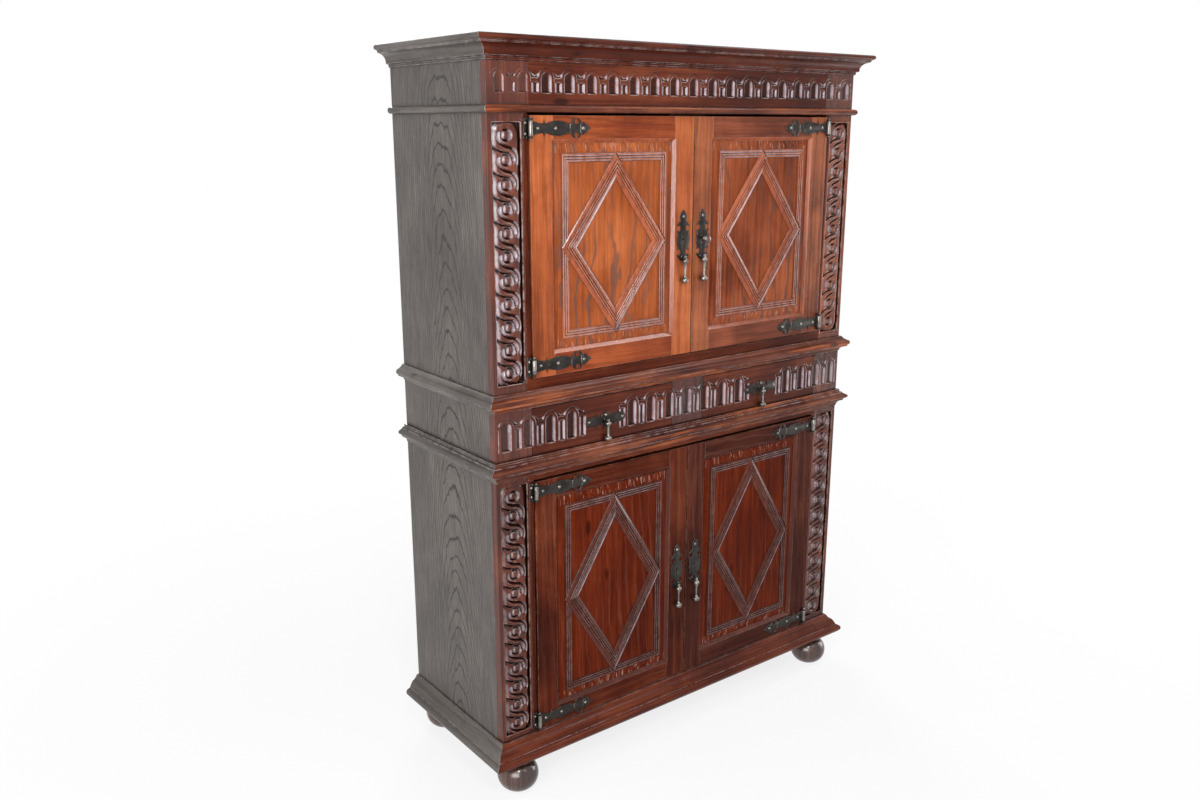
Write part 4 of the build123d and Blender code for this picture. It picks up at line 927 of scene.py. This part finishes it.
def spun(shape, outline, axis, centre, turns=24):
    """Turned piece from an outline of (radius, along) points about x, y or z."""
    part = bmesh.new()
    put = {"x": lambda r, a: (a, 0, r), "y": lambda r, a: (r, a, 0), "z": lambda r, a: (r, 0, a)}[axis]
    points = [part.verts.new(put(r, a)) for r, a in outline]
    for first, second in zip(points, points[1:]):
        part.edges.new((first, second))
    direction = {"x": (1, 0, 0), "y": (0, 1, 0), "z": (0, 0, 1)}[axis]
    bmesh.ops.spin(part, geom=part.verts[:] + part.edges[:], cent=(0, 0, 0), axis=direction,
                   angle=2 * pi, steps=turns, use_merge=True)
    bmesh.ops.remove_doubles(part, verts=part.verts, dist=0.0005)
    add_to(shape, part, centre)


def in_metres(shape, hand=1):
    """Scales a bmesh in millimetres to metres, and turns a left-hand shape over for the right."""
    bmesh.ops.scale(shape, vec=(MM * hand, MM, MM), verts=shape.verts)
    if hand < 0:
        bmesh.ops.reverse_faces(shape, faces=shape.faces)


STRAP_OUTLINE = trace(
    (0, 0), (0, 17), (4, 17), ((22, 12.6), (36, 10.2)), (38.5, 12), (40, 19), (42, 12), (43.5, 9.4),
    ((74, 16.8), (111, 9.6)), (113, 10), (117, 10), ((119.5, 18.5), (128.5, 22.0)), (128.9, 19.6),
    ((125.4, 12.6), (131, 9.2)), ((136.6, 12.6), (133.1, 19.6)), (133.5, 22.0), ((142.5, 18.5), (145, 10)),
    (148.5, 10), (149.5, 14), ((156, 12), (164, 5.5)), (173, 0))
ESCUTCHEON_OUTLINE = trace(
    (0, 76), (2, 73), ((8, 67), (11, 56)), (9.5, 48), ((14, 43.5), (20.6, 35.4)), (18.6, 34.2),
    ((10.6, 35.2), (8.8, 29)), ((10.6, 22.8), (18.6, 23.8)), (20.6, 22.6), (17.4, 16),
    ((21.5, 0), (17.4, -19)), (20.6, -25.6), (18.6, -26.8), ((10.6, -25.8), (8.8, -32)),
    ((10.6, -38.2), (18.6, -37.2)), (20.6, -38.4), ((16, -46), (12, -50)), (6, -53.5), (0, -55))
KEYHOLE_OUTLINE = trace((0, -11), (1.8, -11), (1.8, -3.1), ((3.6, 0), (0, 3.6)))
DRAWER_PLATE_OUTLINE = trace(
    (63.5, 0), ((58, 9), (47, 12)), ((42, 11.5), (38, 9)), (35.5, 13.5), (32, 16.5), (26.5, 16.5),
    ((19.5, 7.5), (12.5, 16.5)), (7, 16.5), ((5, 20), (0, 20.5)), (-7, 16.5), (-12.5, 16.5),
    ((-19.5, 7.5), (-26.5, 16.5)), (-32, 16.5), (-35.5, 13.5), (-38, 9), ((-42, 11.5), (-47, 12)),
    ((-58, 9), (-63.5, 0)))
DROP_OUTLINE = trace(
    (0, -2.4), (2.4, -2.6), ((4.4, -4.2), (6.2, -6)), ((8.2, -9.5), (7.6, -13)), ((5, -18), (3.1, -25)),
    (2.7, -34), (2.9, -45), ((3.6, -51), (5.8, -54)), ((9.3, -57), (9.5, -60.5)),
    ((8.4, -64.6), (4.6, -66.6)), (0, -67))


def pull_ears(shape, x, face, z):
    """Two ears and the pin of a hanging pull on a plate."""
    axis = face - PULL_AXIS
    for side in (-1, 1):
        low, high = sorted((x + side * 3.0, x + side * 5.2))
        bar(shape, ((low + high) / 2, axis, z), 3.0, high - low, "x", 0.4)
        block(shape, (low, axis, z - 3.0), (high, face - IRON_T + 0.4, z + 3.0), 0.3)
    bar(shape, (x, axis, z), 1.5, 12.4, "x", 0.5, 14)


def drop(name, hand, x, face, z, length, body, node):
    """Hanging pull: eye, bell, neck and mushroom end."""
    shape = bmesh.new()
    scale = length / DROP_LENGTH
    spun(shape, [(r, a * scale) for r, a in DROP_OUTLINE], "z", (x, face - PULL_AXIS, z))
    eye = [(1.58, -2.5), (3.0, -2.7), (3.5, -2.2), (3.5, 2.2), (3.0, 2.7), (1.58, 2.5), (1.58, -2.5)]
    spun(shape, eye, "x", (x, face - PULL_AXIS, z), 18)
    in_metres(shape, hand)
    piece(name, shape, body, "iron", polished_iron, node, sharp=60)


def strap(shape, z):
    """Hinge strap with its rolled knuckle, scribed bands and nails."""
    half = [(u - PIN_X, v) for u, v in STRAP_OUTLINE]
    flat_iron(shape, half, "Z", (0, DOOR_FACE, z))
    bar(shape, (-PIN_X, PIN_Y, z), 5.1, 34, "z", 0.8, 24, finish=1)
    for u, reach in ((113.5, 10), (143.5, 9.6)):
        block(shape, (u - 1.4 - PIN_X, DOOR_FACE - IRON_T - 0.7, z - reach),
              (u + 1.4 - PIN_X, DOOR_FACE - IRON_T + 0.5, z + reach), 0.5)
    for along in STRAP_NAILS:
        dome_nail(shape, along - PIN_X, DOOR_FACE - IRON_T, z)


def escutcheon(shape, z):
    """Lock plate with an open keyhole, a nail and the ears of its pull."""
    half = [*ESCUTCHEON_OUTLINE, *KEYHOLE_OUTLINE]
    flat_iron(shape, half, "X", (-PLATE_X, DOOR_FACE, z), edge=0.5)
    dome_nail(shape, -PLATE_X, DOOR_FACE - IRON_T, z + 59)
    pull_ears(shape, -PLATE_X, DOOR_FACE, z - PULL_DROP)


def keeper(shape, z):
    """Keeper behind a meeting stile, open towards the bolt."""
    part = bmesh.new()
    bmesh.ops.create_cube(part, size=1)
    bmesh.ops.scale(part, vec=(16, 16, 22), verts=part.verts)
    mouth = [face for face in part.faces if face.normal.x > 0.5]
    bmesh.ops.inset_region(part, faces=mouth, thickness=4)
    bmesh.ops.translate(part, verts=mouth[0].verts, vec=(-13, 0, 0))
    soften(part, [edge for edge in part.edges if edge.is_convex], 0.5)
    add_to(shape, part, (-12, DOOR_BACK + 8, z + 14))


def hinge_leaf(shape, z):
    """Fixed leaf: plate, two arms, knuckles, pin ends and nails."""
    inner = LEAF_INNER
    block(shape, (inner - 12, FRONT - IRON_T, z - 23), (inner, FRONT, z + 23), 0.6)
    for side in (-1, 1):
        low, high = sorted((z + side * 17.5, z + side * 23))
        block(shape, (inner - 3.7, PIN_Y, low), (inner, FRONT - 1, high), 0.3)
        bar(shape, (-PIN_X, PIN_Y, (low + high) / 2), 5.1, high - low, "z", 0.6, 24)
        dome_nail(shape, -PIN_X, PIN_Y, z + side * 23, 2.6, 2.6)
        dome_nail(shape, inner - 6, FRONT - IRON_T, z + side * 12, 3.0, 2.1)


for side in ("left", "right"):
    reeded_frame("upper", side, (upper_reed_wood, upper_sticking_wood))
    reeded_frame("lower", side, (lower_reed_wood, lower_sticking_wood))

for stage, levels in HINGE_LEVELS.items():
    for hand, side in ((1, "left"), (-1, "right")):
        shape = bmesh.new()
        for z in levels:
            strap(shape, z)
        escutcheon(shape, KEYHOLES[stage])
        if side == "left":
            keeper(shape, KEYHOLES[stage])
        in_metres(shape, hand)
        piece(f"{stage}_{side}_forged_straps", shape, f"{stage}_{side}_door", "iron", (iron, polished_iron),
              f"{stage}_{side}_door_ironwork")
        drop(f"{stage}_{side}_hanging_drop", hand, -PLATE_X, DOOR_FACE, KEYHOLES[stage] - PULL_DROP,
             DROP_LENGTH, f"{stage}_{side}_drop", f"{stage}_{side}_door_pull")

leaves = bmesh.new()
for hand in (1, -1):
    shape = bmesh.new()
    for z in (*HINGE_LEVELS["lower"], *HINGE_LEVELS["upper"]):
        hinge_leaf(shape, z)
    in_metres(shape, hand)
    join(leaves, shape)
piece("forged_hinge_leaves", leaves, "case", "iron", (iron, polished_iron), "hinge_leaves")

for hand, side in ((1, "left"), (-1, "right")):
    shape = bmesh.new()
    flat_iron(shape, DRAWER_PLATE_OUTLINE, "Z", (-DRAWER_PLATE_X, FRONT, DRAWER_PLATE_Z), edge=0.5)
    for x, rise in ((-53, 0), (53, 0), (0, 12)):
        dome_nail(shape, x - DRAWER_PLATE_X, FRONT - IRON_T, DRAWER_PLATE_Z + rise)
    pull_ears(shape, -DRAWER_PLATE_X, FRONT, DRAWER_PLATE_Z)
    in_metres(shape, hand)
    piece(f"{side}_forged_drawer_plate", shape, f"{side}_drawer", "iron", (iron, polished_iron),
          f"{side}_drawer_ironwork")
    drop(f"{side}_drawer_hanging_drop", hand, -DRAWER_PLATE_X, FRONT, DRAWER_PLATE_Z,
         DRAWER_DROP_LENGTH, f"{side}_drawer_drop", f"{side}_drawer_pull")

key = bmesh.new()
key_z = KEYHOLES["upper"]
turns = [2 * pi * k / BOW_SIDES for k in range(BOW_SIDES + 1)]
bow = [(BOW_RADIUS + BOW_BAR * cos(turn), BOW_BAR * sin(turn)) for turn in turns]
spun(key, bow, "x", (PLATE_X, -233, key_z), 28)
spun(key, trace((0, -225.6), (3.2, -225.2), ((5.0, -223), (3.4, -220.8)), (3.4, -219.6),
                ((4.6, -218.6), (3.4, -217.6)), (3.0, -217), (3.0, -165.4), (2.6, -165), (0, -165)),
     "y", (PLATE_X, 0, key_z), 20)
block(key, (PLATE_X - 1.5, -180, key_z - 9.5), (PLATE_X + 1.5, -172, key_z), 0.3)
in_metres(key)
piece("forged_key", key, "door_key", "iron", polished_iron, "key")

# ---- done

low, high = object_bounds()
